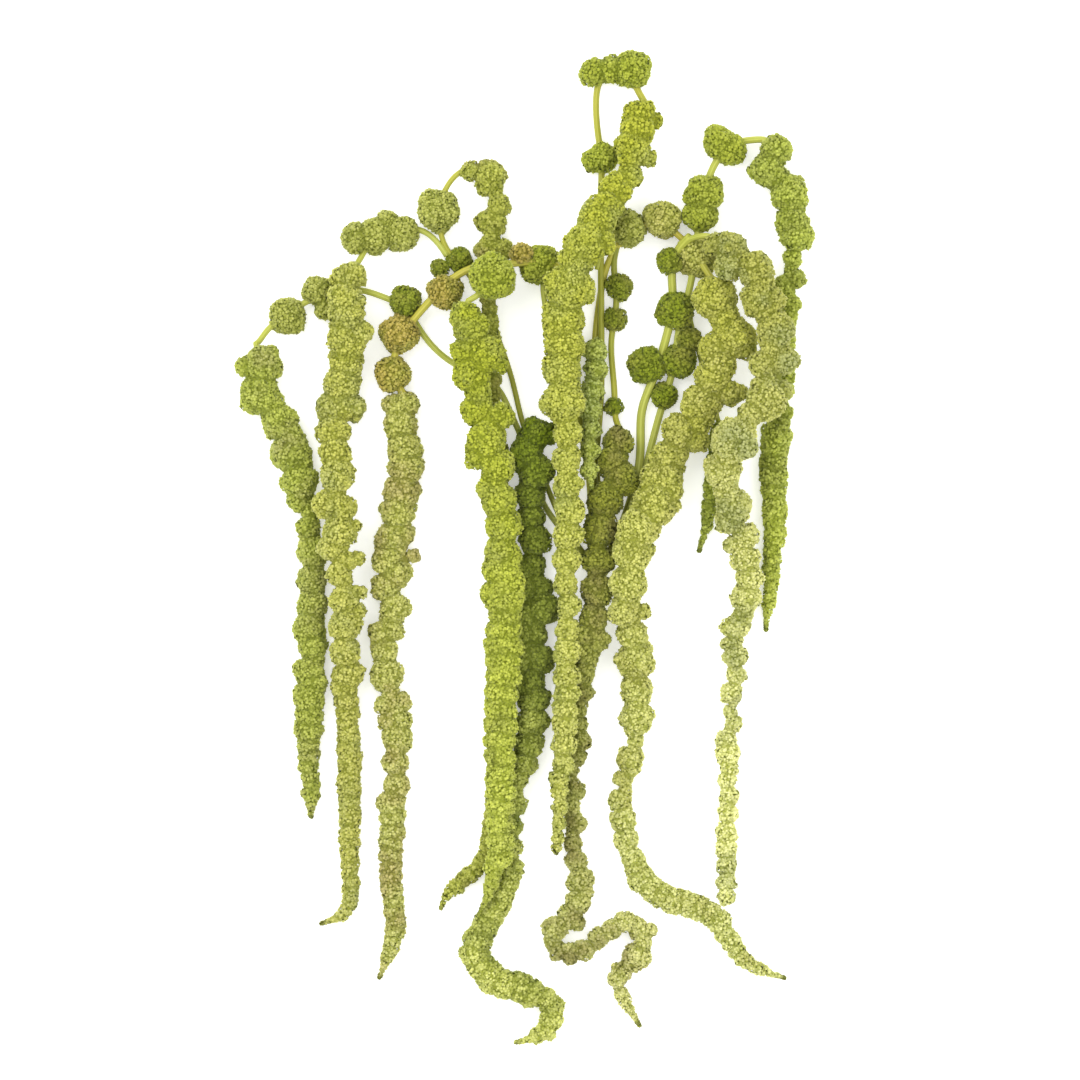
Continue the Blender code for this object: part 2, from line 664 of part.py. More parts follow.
def lump_spans(strand, start, end):
    """Share a run out among lumps, each longer where the tail is thicker."""
    lengths = np.linspace(start, end, max(3, int((end - start) / RUN_STEP)))
    radius = np.interp(lengths, strand.along, strand.radius)
    pitch = np.where(radius < THIN_RADIUS, THIN_PITCH, PITCH)
    pitch = pitch * np.maximum(radius, LEAST_PITCH_RADIUS)
    share = np.concatenate([[0.0], np.cumsum(np.diff(lengths) / (0.5 * (pitch[1:] + pitch[:-1])))])
    count = max(1, round(share[-1]))
    edges = np.interp(np.linspace(0, share[-1], count + 1), share, lengths)
    return list(zip(edges[:-1], edges[1:]))


def knob_swell(strand, along, angle):
    """How far side knobs push the skin out at a length and an angle."""
    swell = 0.0
    for x, y, radius, sample, is_tail in strand.extra:
        if not is_tail:
            continue
        centre, route_radius, heading = strand.place(strand.along[sample])
        across = heading.cross(Vector((0, 0, 1))).normalized()
        offset = Vector((x, y, 0.0)) - Vector((centre.x, centre.y, 0.0))
        reach = abs(offset.dot(across)) + radius - route_radius
        facing = math.cos(angle) * (1 if offset.dot(across) > 0 else -1)
        if reach > 0 and facing > 0:
            near = math.exp(-(((along - strand.along[sample]) / radius) ** 2))
            swell += reach * near * facing ** 3
    return swell


def tail_rings(strand, random_source):
    """The rings of a tail: three or two to each lump, the first of them at its waist."""
    rings = []
    side_sign = 1
    for start_index, end_index in strand.run_ends:
        spans = lump_spans(strand, strand.along[start_index], strand.along[end_index])
        for start, end in spans:
            side_sign = -side_sign
            side_step = SIDE_STEP * side_sign * random_source.uniform(LEAST_SIDE_STEP, 1.0)
            thin = np.interp(0.5 * (start + end), strand.along, strand.radius) < THIN_RADIUS
            for share in THIN_LUMP_RINGS if thin else LUMP_RINGS:
                bulge = WAIST if share == 0.0 else 1.0
                rings.append((start + share * (end - start), bulge, side_step * (bulge > WAIST)))
    made = []
    for k, (along, bulge, side_step) in enumerate(rings):
        centre, radius, heading = strand.place(along)
        across = heading.cross(Vector((0, 0, 1))).normalized()
        radii = []
        for j in range(SIDES):
            angle = math.tau * (j + 0.5) / SIDES
            relief = 1.0 + PEAK_HEIGHT if (k + j) % 2 == 0 else 1.0 - PIT_DEPTH
            relief += random_source.uniform(-FLORET_JITTER, FLORET_JITTER)
            skin = radius * max(bulge, k == 0) * relief + knob_swell(strand, along, angle)
            radii.append(skin * CORNER_SHARE)
        press_height = FLAT_SHARE * radius if bulge > WAIST else 0.0
        made.append((centre + side_step * radius * across, heading, radii, press_height))
    tip, _, _ = strand.place(strand.along[strand.run_ends[-1][1]])
    return made, tip


def stem_rings(strand, end, random_source):
    """The rings of a bare stem with its loose balls, which are beads on it."""
    beads = [
        (strand.along[sample], radius)
        for x, y, radius, sample, is_tail in strand.extra
        if not is_tail and strand.is_bead(x, y, radius, sample)
    ]
    lengths = []
    for middle, radius in beads:
        for share in BEAD_RINGS:
            length = middle + share * radius
            if END_MARGIN < length < end - END_MARGIN:
                lengths.append(length)
    lengths.sort()
    kept = [0.0]
    for length in lengths + [end]:
        for bend in strand.bends(kept[-1], length):
            kept.append(bend)
        if length - kept[-1] > LEAST_RING_STEP or length == end:
            kept.append(length)
    rings = []
    for k, along in enumerate(kept):
        centre, _, heading = strand.place(along)
        radius = strand.spec["stem_radius"]
        for middle, bead in beads:
            away = along - middle
            if abs(away) < bead:
                radius = max(radius, math.sqrt(bead**2 - away**2))
        covered = radius > COVERED_SHARE * strand.spec["stem_radius"]
        radii = []
        for j in range(SIDES):
            relief = 1.0
            if covered:
                relief = 1.0 + PEAK_HEIGHT if (k + j) % 2 == 0 else 1.0 - PIT_DEPTH
                relief += random_source.uniform(-FLORET_JITTER, FLORET_JITTER)
                relief *= CORNER_SHARE
            radii.append(radius * relief)
        rings.append((centre, heading, radii, BALL_FLAT_SHARE * radius if covered else 0.0))
    return rings


def fused(name, collection):
    """One solid from a collection of overlapping pieces."""
    pieces = list(collection.objects)
    base = pieces[0]
    collection.objects.unlink(base)
    bpy.context.scene.collection.objects.link(base)
    union = base.modifiers.new("fuse", "BOOLEAN")
    union.operation = "UNION"
    union.operand_type = "COLLECTION"
    union.collection = collection
    bpy.context.view_layer.update()
    evaluated = base.evaluated_get(bpy.context.evaluated_depsgraph_get())
    mesh = bpy.data.meshes.new_from_object(evaluated)
    for piece in pieces:
        bpy.data.objects.remove(piece, do_unlink=True)
    bpy.data.collections.remove(collection)
    mesh.name = name
    keep_largest_body(mesh)
    return mesh


def keep_largest_body(mesh):
    """Fill sealed hollows and drop loose scraps: only the largest closed skin stays."""
    bm = bmesh.new()
    bm.from_mesh(mesh)
    left = set(bm.faces)
    skins = []
    while left:
        skin = {left.pop()}
        front = list(skin)
        while front:
            face = front.pop()
            for edge in face.edges:
                for other in edge.link_faces:
                    if other in left:
                        left.remove(other)
                        skin.add(other)
                        front.append(other)
        skins.append(skin)
    skins.sort(key=len)
    for skin in skins[:-1]:
        bmesh.ops.delete(bm, geom=list(skin), context="FACES")
    bm.to_mesh(mesh)
    bm.free()


def finish_node(item):
    """Give the solid its colour, and shade its round stretches smooth."""
    material = bpy.data.materials.new(item.name)
    material.use_nodes = True
    shader = material.node_tree.nodes["Principled BSDF"]
    shader.inputs["Base Color"].default_value = (*COLOURS[item.name], 1.0)
    shader.inputs["Roughness"].default_value = ROUGHNESS
    shader.inputs["Metallic"].default_value = 0.0
    item.data.materials.clear()
    item.data.materials.append(material)
    item.data.shade_smooth()
    item.data.set_sharp_from_angle(angle=SHARP_ANGLE)


def main_stem_spheres():
    """The main stem as spheres, in the form that solid_spheres gives."""
    rows = smooth_points([(x, y, MAIN_STEM_RADIUS) for x, y in MAIN_STEM_ROUTE], ROUTE_STEP)
    return np.array([(x, y, radius, radius, 0.0, 1.0) for x, y, radius, _ in rows])


def lay_all(strands):
    """Lay the stems and tails one by one, each from the crown or from its parent's height."""
    by_name = {strand.name: strand for strand in strands}
    laid = []
    for name, part in LAYING_ORDER:
        strand = by_name[name]
        on_tail = part == "tail"
        parent = by_name.get(strand.spec["parent"])
        strand.start_z = CROWN_HEIGHT
        if parent is not None:
            strand.start_z = parent.z[parent.nearest(strand.x[0], strand.y[0], False)]
        obstacles = [main_stem_spheres()]
        for other, other_is_tail in laid:
            rows = other.solid_spheres()
            rows = rows[rows[:, 4] == other_is_tail]
            if other is strand:
                start_x, start_y = strand.tail_start
                away = np.hypot(rows[:, 0] - start_x, rows[:, 1] - start_y)
                rows = rows[away > OWN_STEM_CLEARANCE]
            obstacles.append(rows)
        lay(strand, on_tail, np.vstack(obstacles))
        laid.append((strand, on_tail))


def build():
    random_source = random.Random(SEED)
    strands = [Laid(spec) for spec in STRANDS]
    squeeze_side_by_side(strands)
    lay_all(strands)

    head = bpy.data.collections.new("amaranth_seed_head")
    stem_pieces = bpy.data.collections.new("stem")
    for collection in (head, stem_pieces):
        bpy.context.scene.collection.children.link(collection)
    add_main_stem(stem_pieces)
    nodes = []
    for strand in strands:
        stem_end = strand.along[-1]
        if strand.spec["tail"]:
            rings, tip = tail_rings(strand, random_source)
            nodes.append(add_loft(strand.name, head, rings, SIDES, tip))
            stem_end = strand.along[strand.run_ends[0][0]] - GAP
        add_loft("stem", stem_pieces, stem_rings(strand, stem_end, random_source), SIDES, None)
        for x, y, radius, sample, is_tail in strand.extra:
            if not is_tail and not strand.is_bead(x, y, radius, sample):
                centre = Vector((x, y, strand.z[sample]))
                add_ball(stem_pieces, centre, radius * BALL_SCALE, random_source)
    nodes.append(add_mesh_object("stem", fused("stem", stem_pieces), head))
    for item in nodes:
        finish_node(item)
    centre_over_origin(nodes)


def add_main_stem(collection):
    """The main stem, lying on the surface, from above the crown to its cut end."""
    flat = math.cos(math.pi / MAIN_STEM_SIDES)
    points = [
        Vector((x, y, MAIN_STEM_RADIUS * taper * flat))
        for (x, y), taper in zip(MAIN_STEM_ROUTE, MAIN_STEM_TAPER)
    ]
    rings = []
    for i, point in enumerate(points):
        heading = points[min(i + 1, len(points) - 1)] - points[max(i - 1, 0)]
        heading.z = 0.0
        radius = MAIN_STEM_RADIUS * MAIN_STEM_TAPER[i]
        rings.append((point, heading.normalized(), [radius] * MAIN_STEM_SIDES, MAIN_STEM_FLAT))
    add_loft("main_stem", collection, rings, MAIN_STEM_SIDES, None)


def centre_over_origin(nodes):
    """Move the head so that the middle of its box's bottom is the origin."""
    corners = np.array([tuple(v.co) for item in nodes for v in item.data.vertices])
    low, high = corners.min(axis=0), corners.max(axis=0)
    shift = Matrix.Translation((-(low[0] + high[0]) / 2, -(low[1] + high[1]) / 2, -low[2]))
    for item in nodes:
        item.data.transform(shift)


remove_everything()
build()
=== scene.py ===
import heapq
import math

import bmesh
import bpy
import numpy as np
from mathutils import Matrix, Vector
from mathutils.bvhtree import BVHTree


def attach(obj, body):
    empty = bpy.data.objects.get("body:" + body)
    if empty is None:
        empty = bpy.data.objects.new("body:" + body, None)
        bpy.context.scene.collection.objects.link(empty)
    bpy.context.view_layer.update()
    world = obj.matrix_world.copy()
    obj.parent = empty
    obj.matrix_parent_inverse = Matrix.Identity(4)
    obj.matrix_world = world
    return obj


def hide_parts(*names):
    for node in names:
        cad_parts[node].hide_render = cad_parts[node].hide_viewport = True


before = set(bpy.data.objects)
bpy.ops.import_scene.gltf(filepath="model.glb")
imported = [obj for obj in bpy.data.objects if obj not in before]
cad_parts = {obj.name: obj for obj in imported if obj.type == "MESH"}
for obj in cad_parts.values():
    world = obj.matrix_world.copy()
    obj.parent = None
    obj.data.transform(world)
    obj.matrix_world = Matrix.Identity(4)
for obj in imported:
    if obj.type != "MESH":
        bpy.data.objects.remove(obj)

# Amaranth seed head: every tail is covered in florets at their real size, which stand on round lumps
# along the line of its solid. Loose balls are covered in the same way, and the stems are ribbed.

# Metres in a millimetre: every length below is in metres, if it doesn't say otherwise
MM = 0.001

# Florets: how far apart, how large and how different they are
FLORET_PITCH = 1.5 * MM
FLORET_RADIUS = 1.0 * MM
FLORET_HEIGHT = 1.0 * MM
FLORET_SINK = 0.4 * MM
FLORET_SIDES = 6
FLORET_TILT = 0.22
FLORET_SCATTER = 0.16
FLORET_BURIED = 0.25
LEAST_FLORETS = 8
FLORET_SIZES = (0.75, 1.25)
FLORET_EDGES = (0.8, 1.2)
FLORET_HEIGHTS = (0.8, 1.25)
STEEP = 0.9

# How much of a floret's shade comes from its ball, from its bump and from itself
BALL_SHADE = 0.3
CELL_SHADE = 0.3
OWN_SHADE = 0.4
MIDDLE_SHADE = 0.5

# Soft bumps under the florets, with creases and pits between them; painted shade in pits, creases, grooves
CELL_PITCH = 3.6 * MM
CELL_REACH = 2.2 * MM
CELL_RELIEF = 0.6 * MM
CELL_LEAN = 0.4
CELL_FULL_SIZE = 5.0 * MM
CELL_SCATTER = 0.22
CELL_LIFT = 0.4
CELL_EDGE = 1.2
LEAST_CELLS = 4
PIT_WIDTH = 1.0 * MM
PIT_SHADE = 0.55
MISSING_SHARE = 0.1
# Sunk florets are set lower and are also painted in shade
SUNK_SHARE = 0.22
SUNK_DEPTH = 0.5 * MM
SUNK_SHADE = 0.3
CREASE_WIDTH = 1.0 * MM
CREASE_SHADE = 0.25
GROOVE_APART = 0.8
GROOVE_SHARE = 0.1
GROOVE_SHADE = 0.5

# The closed body under the florets
CORE_VOXEL = 2.2 * MM
CORE_DEPTH = 0.6 * MM
LEAST_CORE = 0.6
# Low openness of the core, which paints it in shade, as it shows only between florets
CORE_OPENNESS = 0.35
CORE_BLOCK = 2000
FLOOR_CLEARANCE = 0.15 * MM

# How the centre line and the thickness of a tail are measured on its solid
AXIS_STEP = 1.0 * MM
BAND = 2.0 * MM
LEAST_BANDS = 6
SAMPLE_STEP = 0.7 * MM
END_SHARE = 0.1
AXIS_SMOOTHING = 2.0
RADIUS_SMOOTHING = 1.0

# How thick the florets' body of a tail is against its solid, and how it starts and ends
SKIN_PERCENTILE = 80
SKIN_GROWTH = 1.16
START_LENGTH = 10 * MM
TIP_LENGTH = 14 * MM
TIP_SHARE = 0.3

# Balls set by rule, where none can be told apart in the photograph, in radii of the tail there
FIRST_BALL = 0.8
BALL_STEP = (1.2, 1.7)
BALL_SIZES = (0.92, 1.1)
BALL_OFFSET = 0.15
BALL_TURN = 2.4
BALL_TURN_SPREAD = 0.6
PAIR_CHANCE = 0.35
PAIR_SIZES = (0.56, 0.68)
PAIR_TAIL = 5.5 * MM
SIDE_CHANCE = 0.6
SIDE_SIZES = (0.4, 0.62)
SIDE_REACH = (0.92, 1.04)
SEARCH_STEP = 0.1
TIP_CLEARANCE = 0.3

# Tails that are smooth all along or only near the end: closer balls of nearly one size
SMOOTH_TAILS = ("centre", "front_left", "outer_right", "inner_left", "short_right", "slender")
SMOOTH_ENDS = ("outer_left", "russet", "deep_green", "hooked", "broad_right")
SMOOTH_FROM = 0.7
SMOOTH_STEP = (0.6, 0.85)
SMOOTH_RADIUS = 4.0 * MM
SMOOTH_SIZES = (0.96, 1.04)
SMOOTH_OFFSET = 0.06

# Small knobs on the listed balls, in radii of the ball, and the body inside a tail
KNOBS = 5
KNOB_SIZES = (0.3, 0.48)
KNOB_REACH = (1.0, 1.12)
INNER_START = 0.5
INNER_STEP = 0.4
INNER_SIZE = 0.58

# Round lumps that a big ball is made of, in its radii
LEAST_BIG_BALL = 4.0 * MM
MIDDLE_SIZE = 0.88
LUMP_SIZES = (0.5, 0.68)
LARGEST_LUMP = 7.0 * MM
LUMP_REACH = (0.95, 1.06)
LUMP_COVER = 0.5

# Underside florets are fewer and broader, because the weight presses them on the surface
UNDERSIDE = -0.35
UNDERSIDE_SHARE = 0.45
UNDERSIDE_SIZE = 1.4

# Bare stems: rings and ribs of their skin, and how a centre line is found inside the solid
STEM_STEP = 2.0 * MM
STEM_RIBS = 8
STEM_GROWTH = 0.95
RIB_DEPTH = 0.07
CAP_RIB = 0.5
ROUTE_STEP = 2.0 * MM
HEIGHT_STEP = 0.5 * MM
LEAST_THICKNESS = 1.2
MOST_THICKNESS = 2.6
CROWN_HEIGHT = 4.5 * MM
STEM_INTO_TAIL = 8.0 * MM
STEM_SMOOTHING = 4.0
JOINT_SMOOTHING = 2.0
STEM_UNEVENNESS = 0.05
STEM_WAVE = 4.0
RAY_START = 1.0
RAY_STEP = 0.01 * MM

SEED = 7

# Limits: decimals at which two corners are one, points on a short line, and when a line stands upright
CORNER_DECIMALS = 7
LEAST_POINTS = 4
UPRIGHT = 1e-3

# Camera: the photograph's frame laid on the surface, seen from straight above
PLAN_CENTRE = (14.3, 3.3)
FRAME_WIDTH = 594 * MM
CAMERA_HEIGHT = 4.0
OBJECT_MIDDLE = 20 * MM
SENSOR = 36.0

# A tail and its lowest point in the plan of the routes, millimetres, which ties that plan to the frame
PLAN_MARK = ("olive", (70, -266))

# Balls read off the photograph: place and radius in its pixels, how much larger they are made,
# and how far along the tail from them a ball by rule can start
PHOTO_CENTRE = (514, 546)
PIXEL = 0.55 * MM
MEASURED_GROWTH = 0.9 * MM
MEASURED_REACH = 7.0 * MM
LOOSE_GROWTH = 0.7 * MM
TAIL_BALLS = {
    "outer_left": [
        (247, 366, 11), (262, 364, 19), (259, 394, 20), (279, 421, 18), (289, 453, 20), (299, 481, 18),
        (298, 499, 12), (307, 528, 11), (312, 552, 16), (311, 580, 15), (312, 605, 15), (308, 628, 16),
        (312, 648, 14), (307, 672, 14),
    ],
    "inner_left": [
        (341, 277, 10), (353, 275, 13), (345, 300, 17), (343, 336, 16), (360, 332, 12), (346, 362, 17),
        (341, 384, 19), (329, 408, 14), (340, 408, 15), (352, 407, 13), (333, 432, 16), (335, 453, 16),
        (337, 476, 17), (325, 504, 13), (343, 508, 13), (339, 532, 17), (355, 526, 5), (330, 548, 12),
        (349, 561, 8), (358, 558, 6), (339, 574, 12), (343, 600, 14), (354, 592, 6), (361, 593, 5),
        (358, 611, 7), (344, 626, 16), (345, 652, 15), (348, 674, 15),
    ],
    "russet": [
        (392, 404, 10), (406, 404, 13), (399, 410, 13), (400, 424, 17), (404, 447, 17), (405, 468, 18),
        (402, 492, 18), (397, 511, 17), (391, 538, 16), (402, 534, 12), (413, 556, 6), (387, 560, 15),
        (397, 573, 14), (384, 588, 13), (395, 608, 14), (380, 634, 12), (392, 630, 11), (384, 652, 13),
        (386, 676, 17),
    ],
    "front_left": [
        (465, 318, 15), (465, 352, 14), (487, 355, 18), (469, 375, 17), (500, 366, 7), (478, 392, 13),
        (474, 412, 13), (500, 417, 13), (486, 441, 20), (477, 458, 11), (498, 467, 17), (493, 489, 16),
        (503, 525, 18), (502, 553, 18), (507, 583, 19), (505, 613, 17), (504, 630, 17), (504, 646, 18),
        (503, 662, 17), (503, 676, 17), (501, 692, 16), (500, 708, 16), (500, 725, 16), (500, 741, 15),
        (500, 758, 15), (500, 775, 14), (500, 791, 14), (500, 808, 13), (499, 824, 13), (500, 841, 13),
        (500, 857, 12),
    ],
    "deep_green": [
        (535, 434, 16), (547, 433, 11), (525, 453, 16), (536, 471, 18), (530, 495, 15), (531, 515, 14),
        (535, 540, 16), (533, 565, 12), (521, 567, 12), (540, 589, 12), (526, 590, 13), (543, 609, 16),
        (526, 614, 13), (536, 636, 11), (522, 638, 13), (539, 660, 15), (522, 662, 13), (532, 681, 13),
        (520, 684, 12), (534, 700, 16), (532, 722, 16), (528, 745, 15), (524, 763, 13), (517, 780, 10),
        (513, 804, 13), (511, 827, 11),
    ],
    "hooked": [
        (470, 170, 9), (491, 175, 15), (485, 185, 9), (499, 204, 11), (485, 221, 10), (494, 222, 12),
        (487, 250, 12), (502, 249, 10),
    ],
    "centre": [
        (640, 116, 17), (655, 120, 7), (633, 150, 17), (648, 158, 8), (622, 143, 7), (630, 176, 12),
        (615, 190, 16), (606, 208, 16), (591, 233, 17), (602, 242, 13), (577, 260, 17), (570, 288, 24),
        (563, 319, 22), (565, 345, 20), (561, 369, 20), (563, 402, 22), (568, 433, 14), (566, 460, 14),
        (567, 485, 14), (570, 510, 15), (568, 535, 15), (567, 560, 14), (565, 584, 11), (570, 605, 11),
        (568, 630, 11), (567, 652, 13), (567, 676, 13), (567, 692, 12), (565, 709, 12), (565, 725, 12),
        (564, 745, 11), (563, 765, 10), (559, 779, 9), (559, 790, 8), (560, 807, 7), (559, 824, 6),
        (558, 838, 5), (556, 848, 4),
    ],
    "slender": [
        (595, 350, 11), (596, 368, 11), (593, 389, 11), (590, 410, 11), (592, 430, 9), (590, 450, 9),
        (589, 470, 8),
    ],
    "olive": [
        (618, 442, 15), (612, 462, 15), (622, 480, 17), (604, 501, 18), (600, 530, 17), (598, 560, 16),
        (597, 590, 16), (594, 618, 14), (597, 640, 12), (586, 652, 11), (584, 636, 12), (582, 672, 11),
        (584, 692, 9), (579, 725, 8), (577, 758, 8), (575, 791, 10), (576, 824, 10), (573, 844, 8),
        (576, 862, 10),
    ],
    "broad_right": [
        (714, 299, 22), (735, 338, 20), (745, 348, 11), (712, 348, 14), (713, 378, 18), (729, 393, 12),
        (741, 393, 7), (700, 404, 19), (681, 432, 19), (697, 440, 12), (668, 458, 18), (662, 482, 22),
        (655, 506, 22), (637, 530, 21), (632, 553, 20), (628, 583, 19), (624, 612, 15), (643, 612, 7),
        (632, 634, 15), (635, 660, 19), (637, 689, 16), (637, 718, 17), (636, 741, 7), (630, 761, 13),
        (621, 779, 7), (619, 801, 10), (623, 821, 12), (626, 840, 12), (634, 860, 11),
    ],
    "pale_right": [
        (712, 247, 9), (731, 247, 14), (727, 268, 13), (755, 270, 18), (757, 300, 17), (772, 301, 12),
        (775, 330, 18), (761, 364, 13), (783, 361, 14), (766, 399, 21), (782, 390, 9), (750, 415, 12),
        (733, 441, 23), (722, 472, 18), (734, 505, 18), (728, 520, 13), (748, 536, 11), (731, 545, 7),
        (746, 560, 14), (750, 578, 13), (746, 598, 15), (744, 616, 9), (738, 626, 12), (728, 627, 7),
        (737, 640, 6), (728, 644, 6), (736, 656, 11), (737, 675, 9), (732, 693, 10), (731, 713, 6),
        (735, 725, 7), (727, 741, 10), (728, 755, 11), (731, 770, 7), (728, 781, 8), (730, 797, 9),
        (729, 814, 9), (727, 834, 10), (727, 850, 10), (727, 867, 9), (727, 883, 9), (727, 897, 8),
    ],
    "outer_right": [
        (777, 149, 15), (768, 168, 17), (790, 193, 19), (793, 221, 16), (797, 234, 17), (793, 257, 9),
        (797, 278, 9), (784, 285, 10), (792, 303, 9), (785, 412, 8), (777, 436, 15), (774, 462, 14),
    ],
}

# Colours of a tail's florets: at the stem's end, at the tip, and in soft patches
TAILS = {
    "outer_left": ((0.46, 0.50, 0.095), (0.47, 0.50, 0.11), (0.42, 0.41, 0.15)),
    "inner_left": ((0.57, 0.56, 0.125), (0.60, 0.58, 0.17), (0.46, 0.47, 0.17)),
    "russet": ((0.58, 0.57, 0.17), (0.61, 0.60, 0.22), (0.50, 0.42, 0.18)),
    "front_left": ((0.47, 0.50, 0.04), (0.60, 0.64, 0.12), (0.42, 0.44, 0.10)),
    "deep_green": ((0.19, 0.25, 0.001), (0.69, 0.70, 0.22), (0.21, 0.25, 0.03)),
    "hooked": ((0.48, 0.49, 0.10), (0.52, 0.53, 0.12), (0.41, 0.35, 0.14)),
    "centre": ((0.50, 0.51, 0.05), (0.67, 0.66, 0.20), (0.47, 0.49, 0.13)),
    "slender": ((0.54, 0.59, 0.15), (0.54, 0.59, 0.15), (0.50, 0.57, 0.20)),
    "olive": ((0.29, 0.30, 0.035), (0.72, 0.70, 0.30), (0.29, 0.25, 0.09)),
    "broad_right": ((0.54, 0.53, 0.10), (0.76, 0.76, 0.33), (0.52, 0.50, 0.15)),
    "pale_right": ((0.47, 0.46, 0.11), (0.97, 0.95, 0.45), (0.40, 0.42, 0.18)),
    "outer_right": ((0.48, 0.53, 0.095), (0.57, 0.62, 0.12), (0.40, 0.43, 0.10)),
    "short_right": ((0.44, 0.50, 0.08), (0.46, 0.51, 0.10), (0.38, 0.42, 0.12)),
}

# Colours of loose balls, of their soft patches, and the slots they share with tails
BALLS = {
    "green": ((0.47, 0.48, 0.12), (0.44, 0.45, 0.13), "inner_left"),
    "dark": ((0.26, 0.31, 0.015), (0.32, 0.31, 0.06), "deep_green"),
    "lime": ((0.42, 0.46, 0.05), (0.42, 0.45, 0.08), "front_left"),
    "russet": ((0.51, 0.40, 0.10), (0.46, 0.46, 0.10), "russet"),
    "pale": ((0.54, 0.53, 0.14), (0.50, 0.45, 0.16), "pale_right"),
}

# Painted shade at floret feet, in pits and creases, and random tone: the tint and what makes a place dark
PAINTED_SHADE_AND_TONE_TINT = (0.32, 0.36, 0.07)
BASE_LIGHT = 0.45
SHADE_LIGHT = 0.8
SHADE_RANGE = (0.1, 0.9)
FULL_LIGHT = 0.9

# The stretch over which a tail changes colour, and its patches of another hue
CHANGE_RANGE = (0.15, 0.85)
PATCH_SCALE = 45.0
PATCH_DETAIL = 3.0
PATCH_RANGE = (0.46, 0.66)
PATCH_STRENGTH = 0.8

# The surface of florets, apart from its colour
FLORET_SHADER = {
    "Roughness": 0.8,
    "Specular IOR Level": 0.15,
    "Subsurface Weight": 0.4,
    "Subsurface Radius": (1.0, 1.0, 0.4),
    "Subsurface Scale": 0.8 * MM,
    "Sheen Weight": 0.2,
    "Sheen Roughness": 0.6,
    "Sheen Tint": (0.85, 0.95, 0.5, 1.0),
}

# Colours of stems: at the crown and at the tail
STEM_TINTS = {
    "pale": ((0.50, 0.53, 0.12), (0.47, 0.49, 0.08)),
    "yellow": ((0.45, 0.45, 0.08), (0.58, 0.50, 0.07)),
    "olive": ((0.28, 0.30, 0.04), (0.44, 0.42, 0.05)),
}

# Soft blotches on stems, the colour between their ribs, and their surface
BLOTCH_TINT = (0.36, 0.38, 0.05)
BLOTCH_SCALE = 70.0
BLOTCH_DETAIL = 3.0
BLOTCH_RANGE = (0.35, 0.7)
BLOTCH_STRENGTH = 0.45
RIB_TINT = (0.72, 0.74, 0.60)
STEM_SHADER = {"Roughness": 0.5, "Specular IOR Level": 0.3}

# Floor and light: place, size and power of each lamp
FLOOR_HALF = 4.0
FLOOR_SHADER = {
    "Base Color": (0.93, 0.93, 0.93, 1.0),
    "Roughness": 0.9,
    "Emission Color": (1.0, 1.0, 1.0, 1.0),
    "Emission Strength": 0.4,
}
WORLD_LIGHT = 1.3
LAMPS = {
    "key": ((-0.9, 0.9, 1.8), 1.6, 20.0),
    "fill": ((1.2, -0.6, 1.6), 1.8, 10.0),
}

